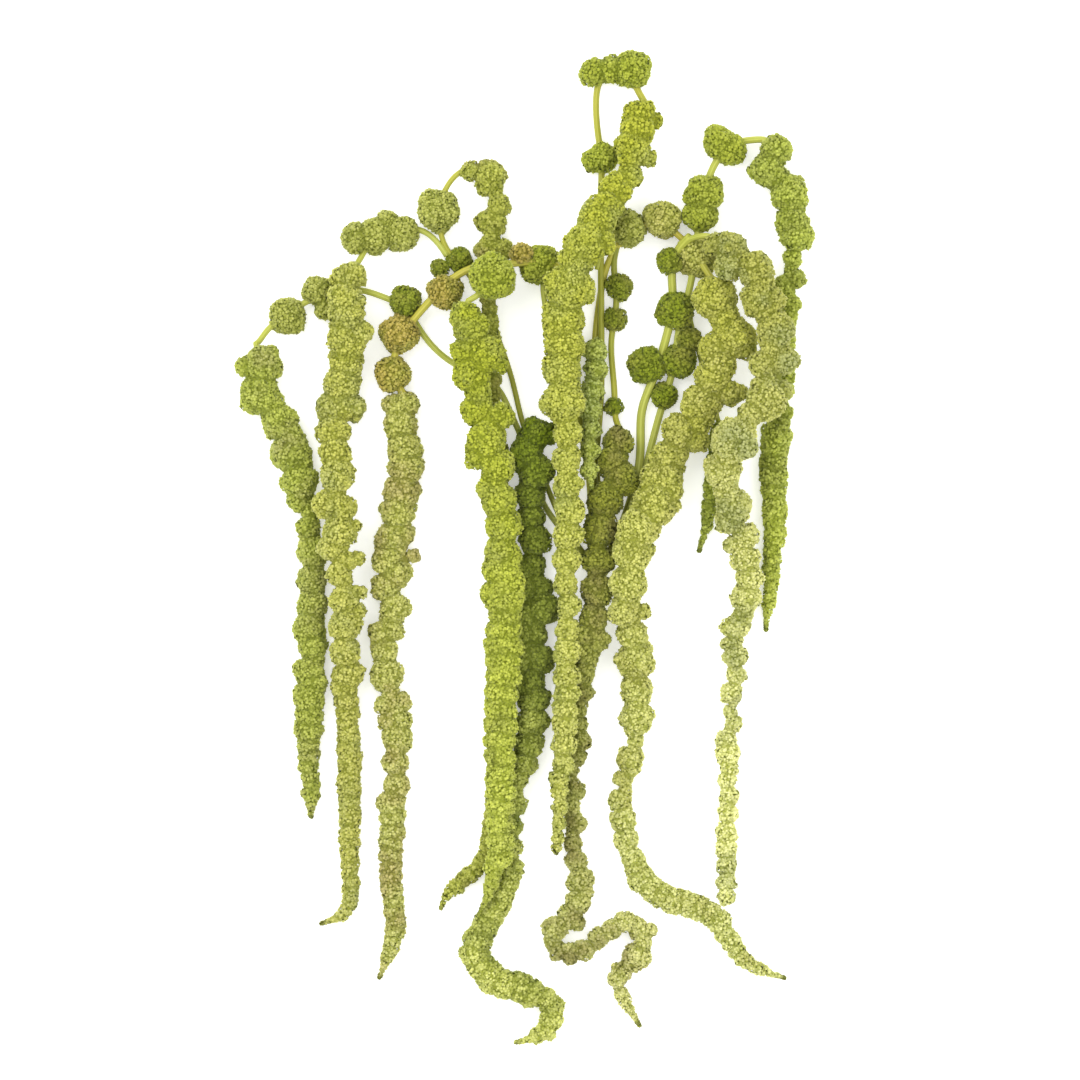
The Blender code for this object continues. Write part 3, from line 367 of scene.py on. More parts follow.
# Bare stems and their loose balls: plan routes, and balls as place, radius and colour, millimetres
STEMS = {
    "outer_left": {
        "radius": 1.8,
        "tint": "pale",
        "route": [(44, -17), (32, 2), (15, 24), (3, 64), (-2, 72), (-9, 90), (-34, 100),
                  (-52, 118), (-60, 134), (-71, 136), (-84, 143), (-97, 141), (-109, 139),
                  (-118, 133), (-126, 127), (-138, 120), (-142, 109)],
        "balls": [(-60, 135, 9, "dark"), (-109, 141, 8, "green"), (-104, 131, 6, "green"),
                  (-125, 127, 10.5, "green")],
    },
    "hooked": {
        "radius": 1.6,
        "tint": "olive",
        "route": [(44, -11), (28, 10), (17, 36), (9, 56), (4, 69), (-1, 93), (-6, 107),
                  (-11, 121), (-19, 141), (-30, 157), (-37, 160), (-41, 171), (-42, 185),
                  (-39, 197), (-34, 205), (-27, 209)],
        "balls": [(-42, 185, 12, "green"), (-30, 158, 7, "dark"), (-41, 153, 5, "dark")],
    },
    "russet": {
        "radius": 2.2,
        "tint": "yellow",
        "route": [(44, -14), (43, 20), (41, 45), (36, 69), (34, 108), (32, 135), (31, 149),
                  (23, 157), (6, 157), (-4, 154), (-22, 155), (-33, 149), (-41, 141),
                  (-51, 130), (-62, 117), (-67, 104), (-68, 95), (-64, 87)],
        "balls": [(4, 161, 6, "russet"), (-38, 140, 10, "russet"), (-63, 117, 11, "russet"),
                  (-67, 95, 10, "russet")],
    },
    "deep_green": {
        "radius": 1.7,
        "tint": "pale",
        "route": [(23, 157), (16, 155), (15, 145), (16, 138)],
        "balls": [(14, 155, 11.5, "lime")],
    },
    "broad_right_stem": {
        "radius": 1.9,
        "tint": "yellow",
        "route": [(47, -11), (47, 10), (46, 35), (44, 80), (45, 119), (48, 141), (51, 156),
                  (57, 166), (64, 175), (82, 179), (91, 171), (101, 161)],
        "balls": [(63, 175, 10.5, "green"), (82, 180, 10.5, "pale"), (101, 159, 11.5, "pale")],
    },
    "olive": {
        "radius": 1.8,
        "tint": "olive",
        "route": [(57, 166), (53, 159), (57, 143), (56, 125), (53, 118), (54, 100), (56, 81),
                  (55, 74), (56, 67)],
        "balls": [(58, 143, 7.5, "dark"), (56, 125, 6.5, "dark"), (55, 77, 5, "dark")],
    },
    "outer_right": {
        "radius": 2.1,
        "tint": "pale",
        "route": [(49, -16), (62, 4), (70, 33), (74, 48), (80, 72), (85, 87), (90, 107),
                  (90, 119), (97, 141), (101, 171), (104, 190), (107, 204), (111, 213),
                  (117, 221), (125, 225), (131, 226), (137, 224)],
        "balls": [(83, 83, 7.5, "dark"), (91, 102, 10, "dark"), (97, 114, 7, "dark"),
                  (105, 194, 11, "lime"), (103, 182, 9.5, "lime"), (113, 223, 9, "lime"),
                  (119, 219, 9.5, "lime")],
    },
    "short_right": {
        "radius": 1.4,
        "tint": "pale",
        "route": [(95, 135), (98, 122), (103, 103), (109, 82), (112, 71)],
    },
    "broad_right": {
        "radius": 2.0,
        "tint": "yellow",
        "route": [(100, 161), (104, 154), (109, 147), (112, 141)],
    },
    "pale_right_stem": {
        "radius": 2.5,
        "tint": "pale",
        "route": [(49, -12), (60, 12), (67, 34), (70, 49), (70, 77), (75, 87), (80, 101),
                  (85, 119), (88, 131), (87, 146), (86, 156), (91, 166), (97, 170)],
        "balls": [(73, 100, 10.5, "dark"), (89, 130, 11, "dark"), (86, 157, 7.5, "dark")],
    },
    "pale_right": {
        "radius": 1.7,
        "tint": "pale",
        "route": [(91, 166), (97, 170)],
    },
    "inner_left": {
        "radius": 1.7,
        "tint": "pale",
        "route": [(-37, 160), (-43, 170), (-52, 177), (-62, 175), (-70, 177), (-78, 171),
                  (-83, 164), (-87, 153)],
        "balls": [(-62, 172, 10, "green"), (-70, 179, 6, "green"), (-77, 171, 10.5, "green"),
                  (-87, 170, 9, "green")],
    },
    "centre": {
        "radius": 1.9,
        "tint": "olive",
        "route": [(46, -15), (45, 10), (44, 38), (46, 58), (48, 80), (48, 135), (48, 201),
                  (49, 214), (46, 226), (45, 251), (46, 261), (54, 263), (64, 262), (69, 252),
                  (70, 246)],
        "balls": [(49, 214, 8.5, "lime"), (44, 213, 6.5, "lime"), (44, 261, 8, "lime"),
                  (54, 263, 8, "lime"), (65, 263, 11, "lime")],
    },
    "slender": {
        "radius": 1.4,
        "tint": "pale",
        "route": [(47, 172), (46, 166), (46, 160)],
    },
    "front_left": {
        "radius": 1.7,
        "tint": "pale",
        "route": [(-4, 154), (-11, 147), (-18, 140), (-23, 134)],
        "balls": [(-12, 148, 13.5, "lime")],
    },
}

# The main stem: plan route, radius and its taper, millimetres
MAIN_STEM = [(46, 2), (46, -14), (46, -34), (44, -58)]
MAIN_STEM_RADIUS = 4.3
MAIN_STEM_TAPER = (0.8, 1.05, 1.0, 0.96)


def random_of(name):
    """A seeded random source for a piece."""
    return np.random.default_rng([SEED, *name.encode()])


def unit(vectors):
    """Vectors brought to length one."""
    return vectors / np.linalg.norm(vectors, axis=1)[:, None]


def distances(places, centres):
    """Distance from every place to every centre."""
    return np.linalg.norm(places[:, None] - centres[None], axis=2)


def run_of(line):
    """Length along a line from its start to each of its points."""
    return np.concatenate([[0.0], np.cumsum(np.linalg.norm(np.diff(line, axis=0), axis=1))])


def add_object(name, data):
    """A new object in the scene."""
    item = bpy.data.objects.new(name, data)
    bpy.context.scene.collection.objects.link(item)
    return item


def node_skin(name):
    """Points and triangles of a node's solid, with shared corners joined."""
    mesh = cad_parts[name].data
    points = np.empty(len(mesh.vertices) * 3)
    mesh.vertices.foreach_get("co", points)
    mesh.calc_loop_triangles()
    triangles = np.empty(len(mesh.loop_triangles) * 3, dtype=np.int32)
    mesh.loop_triangles.foreach_get("vertices", triangles)
    points, index = np.unique(
        np.round(points.reshape(-1, 3), CORNER_DECIMALS), axis=0, return_inverse=True)
    return points, index.reshape(-1)[triangles].reshape(-1, 3)


def plan_shift():
    """From the plan of the routes to the frame, in metres: a known point against its solid."""
    name, lowest = PLAN_MARK
    points, _ = node_skin(name)
    return points[points[:, 1].argmin(), :2] - np.array(lowest) * MM


def lengths_from(starts, points, triangles):
    """Shortest way along the skin's edges from the start corners to every corner."""
    neighbours = [[] for _ in points]
    for a, b in np.unique(np.sort(triangles[:, [0, 1, 1, 2, 2, 0]].reshape(-1, 2), axis=1), axis=0):
        step = float(np.linalg.norm(points[a] - points[b]))
        neighbours[a].append((b, step))
        neighbours[b].append((a, step))
    length = np.full(len(points), np.inf)
    length[starts] = 0.0
    front = [(0.0, int(start)) for start in starts]
    while front:
        done, corner = heapq.heappop(front)
        if done > length[corner]:
            continue
        for other, step in neighbours[corner]:
            if done + step < length[other]:
                length[other] = done + step
                heapq.heappush(front, (done + step, other))
    return length


def smoothed(values, sigma):
    """Values along a line, smoothed over sigma steps, with both ends kept."""
    reach = min(int(3 * sigma) + 1, len(values) - 1)
    weights = np.exp(-0.5 * (np.arange(-reach, reach + 1) / sigma) ** 2)
    weights /= weights.sum()
    padded = np.concatenate([2 * values[:1] - values[reach:0:-1], values,
                             2 * values[-1:] - values[-2:-reach - 2:-1]])
    return np.array([np.convolve(column, weights, "valid") for column in padded.T]).T


def resampled(line, step):
    """Points a step apart along a line, and their lengths from its start."""
    run = run_of(line)
    stops = np.linspace(0.0, run[-1], max(LEAST_POINTS, int(run[-1] / step)))
    return np.array([np.interp(stops, run, column) for column in line.T]).T, stops


def tail_axis(name):
    """Centre line and radii of a tail, from its stem to its tip, a step apart."""
    points, triangles = node_skin(name)
    first = lengths_from([0], points, triangles)
    one_end = int(np.argmax(first))
    length = lengths_from([one_end], points, triangles)
    stem_end = np.append(np.array(STEMS[name]["route"][-1]) * MM + shift, 0.0)
    start = points[length < END_SHARE * length.max()].mean(axis=0)
    end = points[length > (1 - END_SHARE) * length.max()].mean(axis=0)
    if np.linalg.norm(end[:2] - stem_end[:2]) < np.linalg.norm(start[:2] - stem_end[:2]):
        length = length.max() - length
    source = random_of(name)
    corners = points[triangles]
    areas = 0.5 * np.linalg.norm(
        np.cross(corners[:, 1] - corners[:, 0], corners[:, 2] - corners[:, 0]), axis=1)
    count = int(areas.sum() / SAMPLE_STEP**2)
    chosen = source.choice(len(triangles), size=count, p=areas / areas.sum())
    weights = source.dirichlet((1.0, 1.0, 1.0), size=count)
    samples = np.einsum("ij,ijk->ik", weights, corners[chosen])
    along = np.einsum("ij,ij->i", weights, length[triangles[chosen]])
    count = max(LEAST_BANDS, int(along.max() / BAND))
    band = np.minimum((along / along.max() * count).astype(int), count - 1)
    centres = np.array([samples[band == k].mean(axis=0) for k in range(count)])
    axis, stops = resampled(smoothed(centres, AXIS_SMOOTHING), AXIS_STEP)
    radii = np.zeros(count)
    for k in range(count):
        here = samples[band == k]
        radii[k] = np.percentile(distances(here, axis).min(axis=1), SKIN_PERCENTILE)
    radii = SKIN_GROWTH * smoothed(radii[:, None], RADIUS_SMOOTHING)[:, 0]
    bands = np.linspace(0.0, stops[-1], count)
    return axis, np.interp(stops, bands, radii), stops


def crosswise(direction):
    """Two unit vectors across a direction."""
    side = np.cross(direction, (0.0, 0.0, 1.0))
    if np.linalg.norm(side) < UPRIGHT:
        side = np.array((1.0, 0.0, 0.0))
    side = side / np.linalg.norm(side)
    return side, np.cross(side, direction)


def spiral(count, source):
    """Unit vectors spread evenly over a sphere on a spiral, turned at random."""
    index = np.arange(count) + 0.5
    height = 1 - 2 * index / count
    around = index * math.pi * (3 - math.sqrt(5))
    flat = np.sqrt(1 - height**2)
    vectors = np.stack([flat * np.cos(around), flat * np.sin(around), height], axis=1)
    turned, _ = np.linalg.qr(source.normal(size=(3, 3)))
    return vectors @ turned


def lump_group(balls, source):
    """Balls and the lumps they are made of: rows of centre, radius, share, ball and its shade."""
    rows = []
    for k, (x, y, z, radius, share) in enumerate(balls):
        shade = source.uniform()
        if radius < LEAST_BIG_BALL:
            rows.append((x, y, z, radius, share, k, shade))
            continue
        rows.append((x, y, z, MIDDLE_SIZE * radius, share, k, shade))
        usual = min(radius * np.mean(LUMP_SIZES), LARGEST_LUMP)
        for direction in spiral(int(LUMP_COVER * 4 * radius**2 / usual**2), source):
            size = min(radius * source.uniform(*LUMP_SIZES), LARGEST_LUMP)
            reach = radius * source.uniform(*LUMP_REACH) - size
            rows.append((*(np.array((x, y, z)) + reach * direction), size, share, k, shade))
    return rows


def balls_read(name, axis, stops):
    """Balls of a tail that are read off the photograph: rows of centre, radius and share of the length."""
    rows = []
    for x, y, size in TAIL_BALLS.get(name, ()):
        plan = np.array((x - PHOTO_CENTRE[0], PHOTO_CENTRE[1] - y)) * PIXEL + shift
        nearest = np.linalg.norm(axis[:, :2] - plan, axis=1).argmin()
        size = size * PIXEL + MEASURED_GROWTH
        rows.append((*plan, axis[nearest, 2], size, stops[nearest] / stops[-1]))
    return rows


def knobs_on(balls, source):
    """Small knobs on big balls, in rows like those of lumps."""
    rows = []
    for k, (x, y, z, radius, share) in enumerate(balls):
        if radius <= LEAST_BIG_BALL:
            continue
        for direction in spiral(KNOBS, source):
            size = radius * source.uniform(*KNOB_SIZES)
            reach = radius * source.uniform(*KNOB_REACH) - size
            rows.append((*(np.array((x, y, z)) + reach * direction), size, share, k, MIDDLE_SHADE))
    return rows


def tail_parts(name, axis, radii, stops, source):
    """Balls along a tail, read off the photograph or set by rule, and all its lumps: those of the balls,
    knobs on them, some between them and a body inside them."""
    headings = unit(np.gradient(axis, axis=0))
    total = stops[-1]
    radii = radii * (TIP_SHARE + (1 - TIP_SHARE) * np.clip((total - stops) / TIP_LENGTH, 0, 1))
    radii[stops < START_LENGTH] = radii[stops < START_LENGTH].max()

    def place(at, turn, reach):
        index = min(int(np.searchsorted(stops, at)), len(headings) - 1)
        side, up = crosswise(headings[index])
        centre = np.array([np.interp(at, stops, column) for column in axis.T])
        return centre + reach * (math.cos(turn) * side + math.sin(turn) * up)

    balls = balls_read(name, axis, stops)
    between = knobs_on(balls, source)
    turn = source.uniform(0, math.tau)
    measured = np.array([(ball[4] * total, ball[3]) for ball in balls]).reshape(-1, 2)
    first = measured[:, 0].min(initial=total) if len(measured) else 0.0
    near = np.abs(stops[:, None] - measured[None, :, 0]) < MEASURED_REACH
    covered = near.any(axis=1)
    largest = np.where(near, measured[None, :, 1], 0.0).max(axis=1, initial=0.0)
    radii = np.where(covered, np.minimum(radii, largest), radii)
    at = max(first, FIRST_BALL * radii[0])
    steps = SMOOTH_STEP if name in SMOOTH_TAILS else BALL_STEP
    spacing = source.uniform(*steps)
    while at < total - TIP_CLEARANCE * radii[-1]:
        radius = np.interp(at, stops, radii)
        centre = place(at, 0.0, 0.0)
        smooth = name in SMOOTH_TAILS or (name in SMOOTH_ENDS and at > SMOOTH_FROM * total)
        if smooth or radius < SMOOTH_RADIUS:
            spacing = min(spacing, SMOOTH_STEP[1])
        known = covered[min(int(np.searchsorted(stops, at)), len(stops) - 1)]
        if known or any(math.dist(centre, ball[:3]) - ball[3] < (spacing - 1) * radius for ball in balls):
            at += SEARCH_STEP * radius
            continue
        paired = source.uniform() < PAIR_CHANCE and radius > PAIR_TAIL and not smooth
        for side in (-1, 1) if paired else (0,):
            sizes = PAIR_SIZES if paired else SMOOTH_SIZES if smooth else BALL_SIZES
            size = radius * source.uniform(*sizes)
            offset = (SMOOTH_OFFSET if smooth else BALL_OFFSET) * radius + abs(side) * (radius - size)
            balls.append((*place(at, turn + 0.5 * math.pi * side, offset), size, at / total))
        if source.uniform() < SIDE_CHANCE and radius > LEAST_BIG_BALL and not smooth:
            size = radius * source.uniform(*SIDE_SIZES)
            reach = radius * source.uniform(*SIDE_REACH) - size
            middle = min(at + 0.5 * spacing * radius, total)
            around = source.uniform(0, math.tau)
            centre = place(middle, around, reach)
            between.append((*centre, size, middle / total, len(balls) - 1, MIDDLE_SHADE))
        turn += BALL_TURN + source.uniform(-BALL_TURN_SPREAD, BALL_TURN_SPREAD)
        spacing = source.uniform(*steps)
    balls = np.array(balls)
    at = max(first, INNER_START * radii[0])
    while at < total - TIP_CLEARANCE * radii[-1]:
        radius = np.interp(at, stops, radii)
        centre = place(at, 0.0, 0.0)
        nearest = np.linalg.norm(balls[:, :3] - centre, axis=1).argmin()
        between.append((*centre, INNER_SIZE * radius, at / total, nearest, MIDDLE_SHADE))
        at += INNER_STEP * radius
    return balls, np.array(lump_group(balls, source) + between)


def cell_relief(normals, size, source):
    """Soft bumps on a ball: how far each place rises, how it leans, how open it is, which paints shade in
    the pits between bumps, and its random shade.
    """
    cells = spiral(max(LEAST_CELLS, int(4 * math.pi * size**2 / CELL_PITCH**2)), source)
    cells = unit(cells + source.normal(scale=CELL_SCATTER * CELL_PITCH / size, size=cells.shape))
    away = size * distances(normals, cells)
    order = np.argsort(away, axis=1)
    first, second = (np.take_along_axis(away, order[:, i:i + 1], axis=1)[:, 0] for i in (0, 1))
    full = min(1.0, size / CELL_FULL_SIZE)
    rise = full * CELL_RELIEF * (CELL_LIFT - np.minimum(first / CELL_REACH, CELL_EDGE) ** 2)
    lean = CELL_LEAN * size / CELL_REACH * (normals - cells[order[:, 0]])
    # Painted shade in the pits where two bumps meet
    pit_shade = 1 - PIT_SHADE * (1 - np.clip((second - first) / PIT_WIDTH, 0, 1))
    return rise, lean, pit_shade, source.uniform(size=len(cells))[order[:, 0]]


def floret_places(lumps, balls, source):
    """Where florets stand: rows of place, normal, openness, which paints shade where it is low, share of
    the length and shade.
    """
    centres, sizes = lumps[:, :3], lumps[:, 3]
    rows = []
    for k, (x, y, z, size, share, ball, shade) in enumerate(lumps):
        count = max(LEAST_FLORETS, int(4 * math.pi * size**2 / FLORET_PITCH**2))
        normals = spiral(count, source)
        scatter = source.normal(scale=FLORET_SCATTER * FLORET_PITCH / size, size=normals.shape)
        normals = unit(normals + scatter)
        rise, lean, openness, cell_shade = cell_relief(normals, size, source)
        # Sunk florets get painted shade as well as a lower place
        sunk = source.uniform(size=count) < SUNK_SHARE
        openness *= np.where(sunk, SUNK_SHADE, 1.0)
        places = centres[k] + (size + rise - SUNK_DEPTH * sunk)[:, None] * normals
        near = np.linalg.norm(centres - centres[k], axis=1) < sizes + size
        near[k] = False
        clear = distances(places, centres[near]) - sizes[near]
        clear = clear.min(axis=1) if near.any() else np.full(count, CREASE_WIDTH)
        keep = (clear > -FLORET_BURIED * FLORET_PITCH) & (places[:, 2] > FLOOR_CLEARANCE)
        below = normals[:, 2] < UNDERSIDE
        keep &= source.uniform(size=count) < np.where(below, UNDERSIDE_SHARE, 1 - MISSING_SHARE)
        own = balls[int(ball)]
        full = min(1.0, own[3] / CELL_FULL_SIZE)
        # Painted shade in creases, where a floret comes near another lump
        openness *= 1 - full * CREASE_SHADE * (1 - np.clip(clear / CREASE_WIDTH, 0, 1))
        # Painted shade in the grooves between this ball and its neighbours
        apart = np.linalg.norm(balls[:, :3] - own[:3], axis=1)
        others = (apart < balls[:, 3] + own[3]) & (apart > GROOVE_APART * own[3])
        if others.any():
            away = distances(places, balls[others, :3])
            groove = (away / balls[others, 3] - 1).min(axis=1)
            openness *= 1 - full * GROOVE_SHADE * (1 - np.clip(groove / GROOVE_SHARE, 0, 1))
        own_shade = source.uniform(size=count)
        shades = BALL_SHADE * shade + CELL_SHADE * cell_shade + OWN_SHADE * own_shade
        rows.append(np.column_stack([
            places, normals + lean, openness, np.full(count, share), shades])[keep])
    return np.vstack(rows)


def floret_mesh(places, source):
    """Every floret as a low pyramid: points, faces and the colour layer, which holds shade, height,
    openness and share of the length; height and openness paint shade at the feet of florets and in
    hollows."""
    count = len(places)
    sides = FLORET_SIDES
    normals = unit(places[:, 3:6])
    under = normals[:, 2] < UNDERSIDE
    normals = unit(normals + source.normal(scale=FLORET_TILT, size=(count, 3)))
    helper = np.where(np.abs(normals[:, 2:3]) > STEEP, (1.0, 0.0, 0.0), (0.0, 0.0, 1.0))
    side = unit(np.cross(normals, helper))
    up = np.cross(normals, side)
    size = source.uniform(*FLORET_SIZES, size=count) * np.where(under, UNDERSIDE_SIZE, 1.0)
    angle = source.uniform(0, math.tau, size=count)[:, None] + math.tau * np.arange(sides)[None] / sides
    radius = FLORET_RADIUS * size[:, None] * source.uniform(*FLORET_EDGES, size=(count, sides))
    across = np.cos(angle)[..., None] * side[:, None] + np.sin(angle)[..., None] * up[:, None]
    base = places[:, :3] - FLORET_SINK * normals
    ring = base[:, None] + radius[..., None] * across
    height = FLORET_HEIGHT * size * source.uniform(*FLORET_HEIGHTS, size=count)
    tips = (base + height[:, None] * normals)[:, None]
    points = np.concatenate([ring, tips], axis=1).reshape(-1, 3)
    points[:, 2] = np.maximum(points[:, 2], FLOOR_CLEARANCE)
    corners = sides + 1
    first = np.arange(count)[:, None] * corners
    j = np.arange(sides)[None]
    tip = np.broadcast_to(first + sides, (count, sides))
    faces = np.stack([first + j, first + (j + 1) % sides, tip], axis=2).reshape(-1, 3)
    layer = np.zeros((count, corners, 4))
    layer[..., 0] = places[:, 8][:, None]
    # Height, 0 at the ring and 1 at the tip: the feet of florets are painted in shade
    layer[:, sides, 1] = 1.0
    layer[..., 2] = places[:, 6][:, None]
    layer[..., 3] = places[:, 7][:, None]
    return points, faces, layer.reshape(-1, 4)


def mesh_of(name, points, faces, layer):
    """A smooth mesh of triangles with a colour layer named floret."""
    mesh = bpy.data.meshes.new(name)
    mesh.vertices.add(len(points))
    mesh.vertices.foreach_set("co", points.astype(np.float32).ravel())
    mesh.loops.add(3 * len(faces))
    mesh.loops.foreach_set("vertex_index", faces.astype(np.int32).ravel())
    mesh.polygons.add(len(faces))
    mesh.polygons.foreach_set("loop_start", np.arange(0, 3 * len(faces), 3, dtype=np.int32))
    attribute = mesh.color_attributes.new(name="floret", type="FLOAT_COLOR", domain="POINT")
    attribute.data.foreach_set("color", layer.astype(np.float32).ravel())
    mesh.update(calc_edges=True)
    mesh.shade_smooth()
    return mesh


def round_shape(fineness):
    """Points and triangles of a ball of radius one."""
    bm = bmesh.new()
    bmesh.ops.create_icosphere(bm, subdivisions=fineness, radius=1.0)
    points = np.array([vert.co for vert in bm.verts])
    faces = np.array([[vert.index for vert in face.verts] for face in bm.faces])
    bm.free()
    return points, faces


def core_mesh(name, lumps):
    """The inner body of the lumps, in one skin, which shows only between florets: points, faces
    and colour layer."""
    points, faces, first = [], [], 0
    for fineness, chosen in ((2, lumps[:, 3] > LEAST_BIG_BALL), (1, lumps[:, 3] <= LEAST_BIG_BALL)):
        shape, triangles = round_shape(fineness)
        places = lumps[chosen]
        sizes = np.maximum(places[:, 3] - CORE_DEPTH, LEAST_CORE * places[:, 3])
        made = places[:, None, :3] + sizes[:, None, None] * shape[None]
        starts = first + len(shape) * np.arange(len(places))
        points.append(made.reshape(-1, 3))
        faces.append((starts[:, None, None] + triangles[None]).reshape(-1, 3))
        first += len(points[-1])
    points = np.vstack(points)
    mesh = mesh_of(name, points, np.vstack(faces), np.zeros((len(points), 4)))
    item = add_object("remesh", mesh)
    remesh = item.modifiers.new("remesh", "REMESH")
    remesh.mode = "VOXEL"
    remesh.voxel_size = CORE_VOXEL
    evaluated = item.evaluated_get(bpy.context.evaluated_depsgraph_get())
    joined = bpy.data.meshes.new_from_object(evaluated)
    bpy.data.objects.remove(item, do_unlink=True)
    bpy.data.meshes.remove(mesh)
    points = np.empty(len(joined.vertices) * 3)
    joined.vertices.foreach_get("co", points)
    points = points.reshape(-1, 3)
    points[:, 2] = np.maximum(points[:, 2], FLOOR_CLEARANCE)
    joined.calc_loop_triangles()
    faces = np.empty(len(joined.loop_triangles) * 3, dtype=np.int32)
    joined.loop_triangles.foreach_get("vertices", faces)
    bpy.data.meshes.remove(joined)
    share = np.empty(len(points))
    for start in range(0, len(points), CORE_BLOCK):
        block = points[start:start + CORE_BLOCK]
        nearest = distances(block, lumps[:, :3]).argmin(axis=1)
        share[start:start + CORE_BLOCK] = lumps[nearest, 4]
    layer = np.zeros((len(points), 4))
    layer[:, 0] = MIDDLE_SHADE
    # The core shows only between florets and is painted in shade by its low openness
    layer[:, 2] = CORE_OPENNESS
    layer[:, 3] = share
    return points, faces.reshape(-1, 3), layer


def covered_mesh(name, balls, lumps, source):
    """Florets over the lumps of a group of balls, and their core, in one mesh."""
    florets = floret_mesh(floret_places(lumps, balls, source), source)
    core = core_mesh(name, lumps)
    points = np.vstack([florets[0], core[0]])
    faces = np.vstack([florets[1], core[1] + len(florets[0])])
    return mesh_of(name, points, faces, np.vstack([florets[2], core[2]]))


def add_piece(name, mesh, material, node=None):
    """A piece that rides on the head, with its material and the node it stands for."""
    item = add_object(name, mesh)
    mesh.materials.append(material)
    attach(item, "root")
    if node:
        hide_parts(node)


class Nodes:
    """Short calls for a material's nodes."""

    def __init__(self, name):
        self.material = bpy.data.materials.new(name)
        self.material.use_nodes = True
        self.tree = self.material.node_tree
        self.shader = self.tree.nodes["Principled BSDF"]

    def add(self, kind, **settings):
        node = self.tree.nodes.new(kind)
        for key, value in settings.items():
            setattr(node, key, value)
        return node

    def link(self, output, target):
        self.tree.links.new(output, target)

    def mix(self, factor, first, second, blend="MIX"):
        """Colour mix: a factor, and two colours or outputs."""
        node = self.add("ShaderNodeMix", data_type="RGBA", blend_type=blend)
        for value, target in ((factor, node.inputs[0]), (first, node.inputs[6]), (second, node.inputs[7])):
            if isinstance(value, bpy.types.NodeSocket):
                self.link(value, target)
            elif isinstance(value, tuple):
                target.default_value = (*value, 1.0)
            else:
                target.default_value = value
        return node.outputs[2]

    def ranged(self, value, low, high, to_low=0.0, to_high=1.0):
        """A value from one range brought to another, and held inside it."""
        node = self.add("ShaderNodeMapRange")
        self.link(value, node.inputs[0])
        for target, number in zip(node.inputs[1:5], (low, high, to_low, to_high)):
            target.default_value = number
        return node.outputs[0]

    def times(self, first, second):
        """The product of two values."""
        node = self.add("ShaderNodeMath", operation="MULTIPLY")
        self.link(first, node.inputs[0])
        self.link(second, node.inputs[1])
        return node.outputs[0]

    def noise(self, scale, detail):
        """Noise over the object's own coordinates."""
        place = self.add("ShaderNodeTexCoord").outputs["Object"]
        node = self.add("ShaderNodeTexNoise")
        self.link(place, node.inputs["Vector"])
        node.inputs["Scale"].default_value = scale
        node.inputs["Detail"].default_value = detail
        return node.outputs["Fac"]


def set_inputs(shader, values):
    """Values of a shader's own sockets."""
    for name, value in values.items():
        shader.inputs[name].default_value = value


def floret_material(name, colours):
    """Matt florets: tips lighter and creases darker by painted shade, a random shade each and soft patches
    of another hue.
    """
    start, end, patch = colours
    nodes = Nodes(name)
    layer = nodes.add("ShaderNodeVertexColor", layer_name="floret")
    parts = nodes.add("ShaderNodeSeparateColor")
    nodes.link(layer.outputs["Color"], parts.inputs[0])
    chance, height, openness = parts.outputs
    share = nodes.ranged(layer.outputs["Alpha"], *CHANGE_RANGE)
    colour = nodes.mix(share, start, end)
    noise = nodes.noise(PATCH_SCALE, PATCH_DETAIL)
    colour = nodes.mix(nodes.ranged(noise, *PATCH_RANGE, 0.0, PATCH_STRENGTH), colour, patch)
    # Painted shade: floret feet and places of low openness are darkened towards the tint, and random tone
    # a little
    light = nodes.times(nodes.ranged(height, 0.0, 1.0, BASE_LIGHT, 1.0), openness)
    light = nodes.times(light, nodes.ranged(chance, *SHADE_RANGE, SHADE_LIGHT, 1.0))
    painted_shade_and_tone = nodes.ranged(light, 0.0, FULL_LIGHT, 1.0, 0.0)
    colour = nodes.mix(painted_shade_and_tone, colour, PAINTED_SHADE_AND_TONE_TINT, "MULTIPLY")
    nodes.link(colour, nodes.shader.inputs["Base Color"])
    set_inputs(nodes.shader, FLORET_SHADER)
    return nodes.material


def stem_material():
    """Smooth stems with fine ribs along them: colour from the layer, groove or rib from its alpha."""
    nodes = Nodes("stem")
    layer = nodes.add("ShaderNodeVertexColor", layer_name="floret")
    noise = nodes.noise(BLOTCH_SCALE, BLOTCH_DETAIL)
    blotch = nodes.ranged(noise, *BLOTCH_RANGE, 0.0, BLOTCH_STRENGTH)
    colour = nodes.mix(blotch, layer.outputs["Color"], BLOTCH_TINT)
    groove = nodes.mix(1.0, colour, RIB_TINT, "MULTIPLY")
    colour = nodes.mix(layer.outputs["Alpha"], groove, colour)
    nodes.link(colour, nodes.shader.inputs["Base Color"])
    set_inputs(nodes.shader, STEM_SHADER)
    return nodes.material


def curve(stops, step):
    """Points about a step apart on a centripetal curve through the stops."""
    stops = np.array(stops, dtype=float)
    padded = np.vstack([2 * stops[0] - stops[1], stops, 2 * stops[-1] - stops[-2]])
    rows = []
    for i in range(len(stops) - 1):
        p0, p1, p2, p3 = padded[i:i + 4]
        t1 = math.sqrt(np.linalg.norm(p1 - p0))
        t2 = t1 + math.sqrt(np.linalg.norm(p2 - p1))
        t3 = t2 + math.sqrt(np.linalg.norm(p3 - p2))
        count = max(1, round(np.linalg.norm(p2 - p1) / step))
        for t in np.linspace(t1, t2, count, endpoint=False):
            a1 = (t1 - t) / t1 * p0 + t / t1 * p1
            a2 = (t2 - t) / (t2 - t1) * p1 + (t - t1) / (t2 - t1) * p2
            a3 = (t3 - t) / (t3 - t2) * p2 + (t - t2) / (t3 - t2) * p3
            b1 = (t2 - t) / t2 * a1 + t / t2 * a2
            b2 = (t3 - t) / (t3 - t1) * a2 + (t - t1) / (t3 - t1) * a3
            rows.append((t2 - t) / (t2 - t1) * b1 + (t - t1) / (t2 - t1) * b2)
    rows.append(stops[-1])
    return np.array(rows)


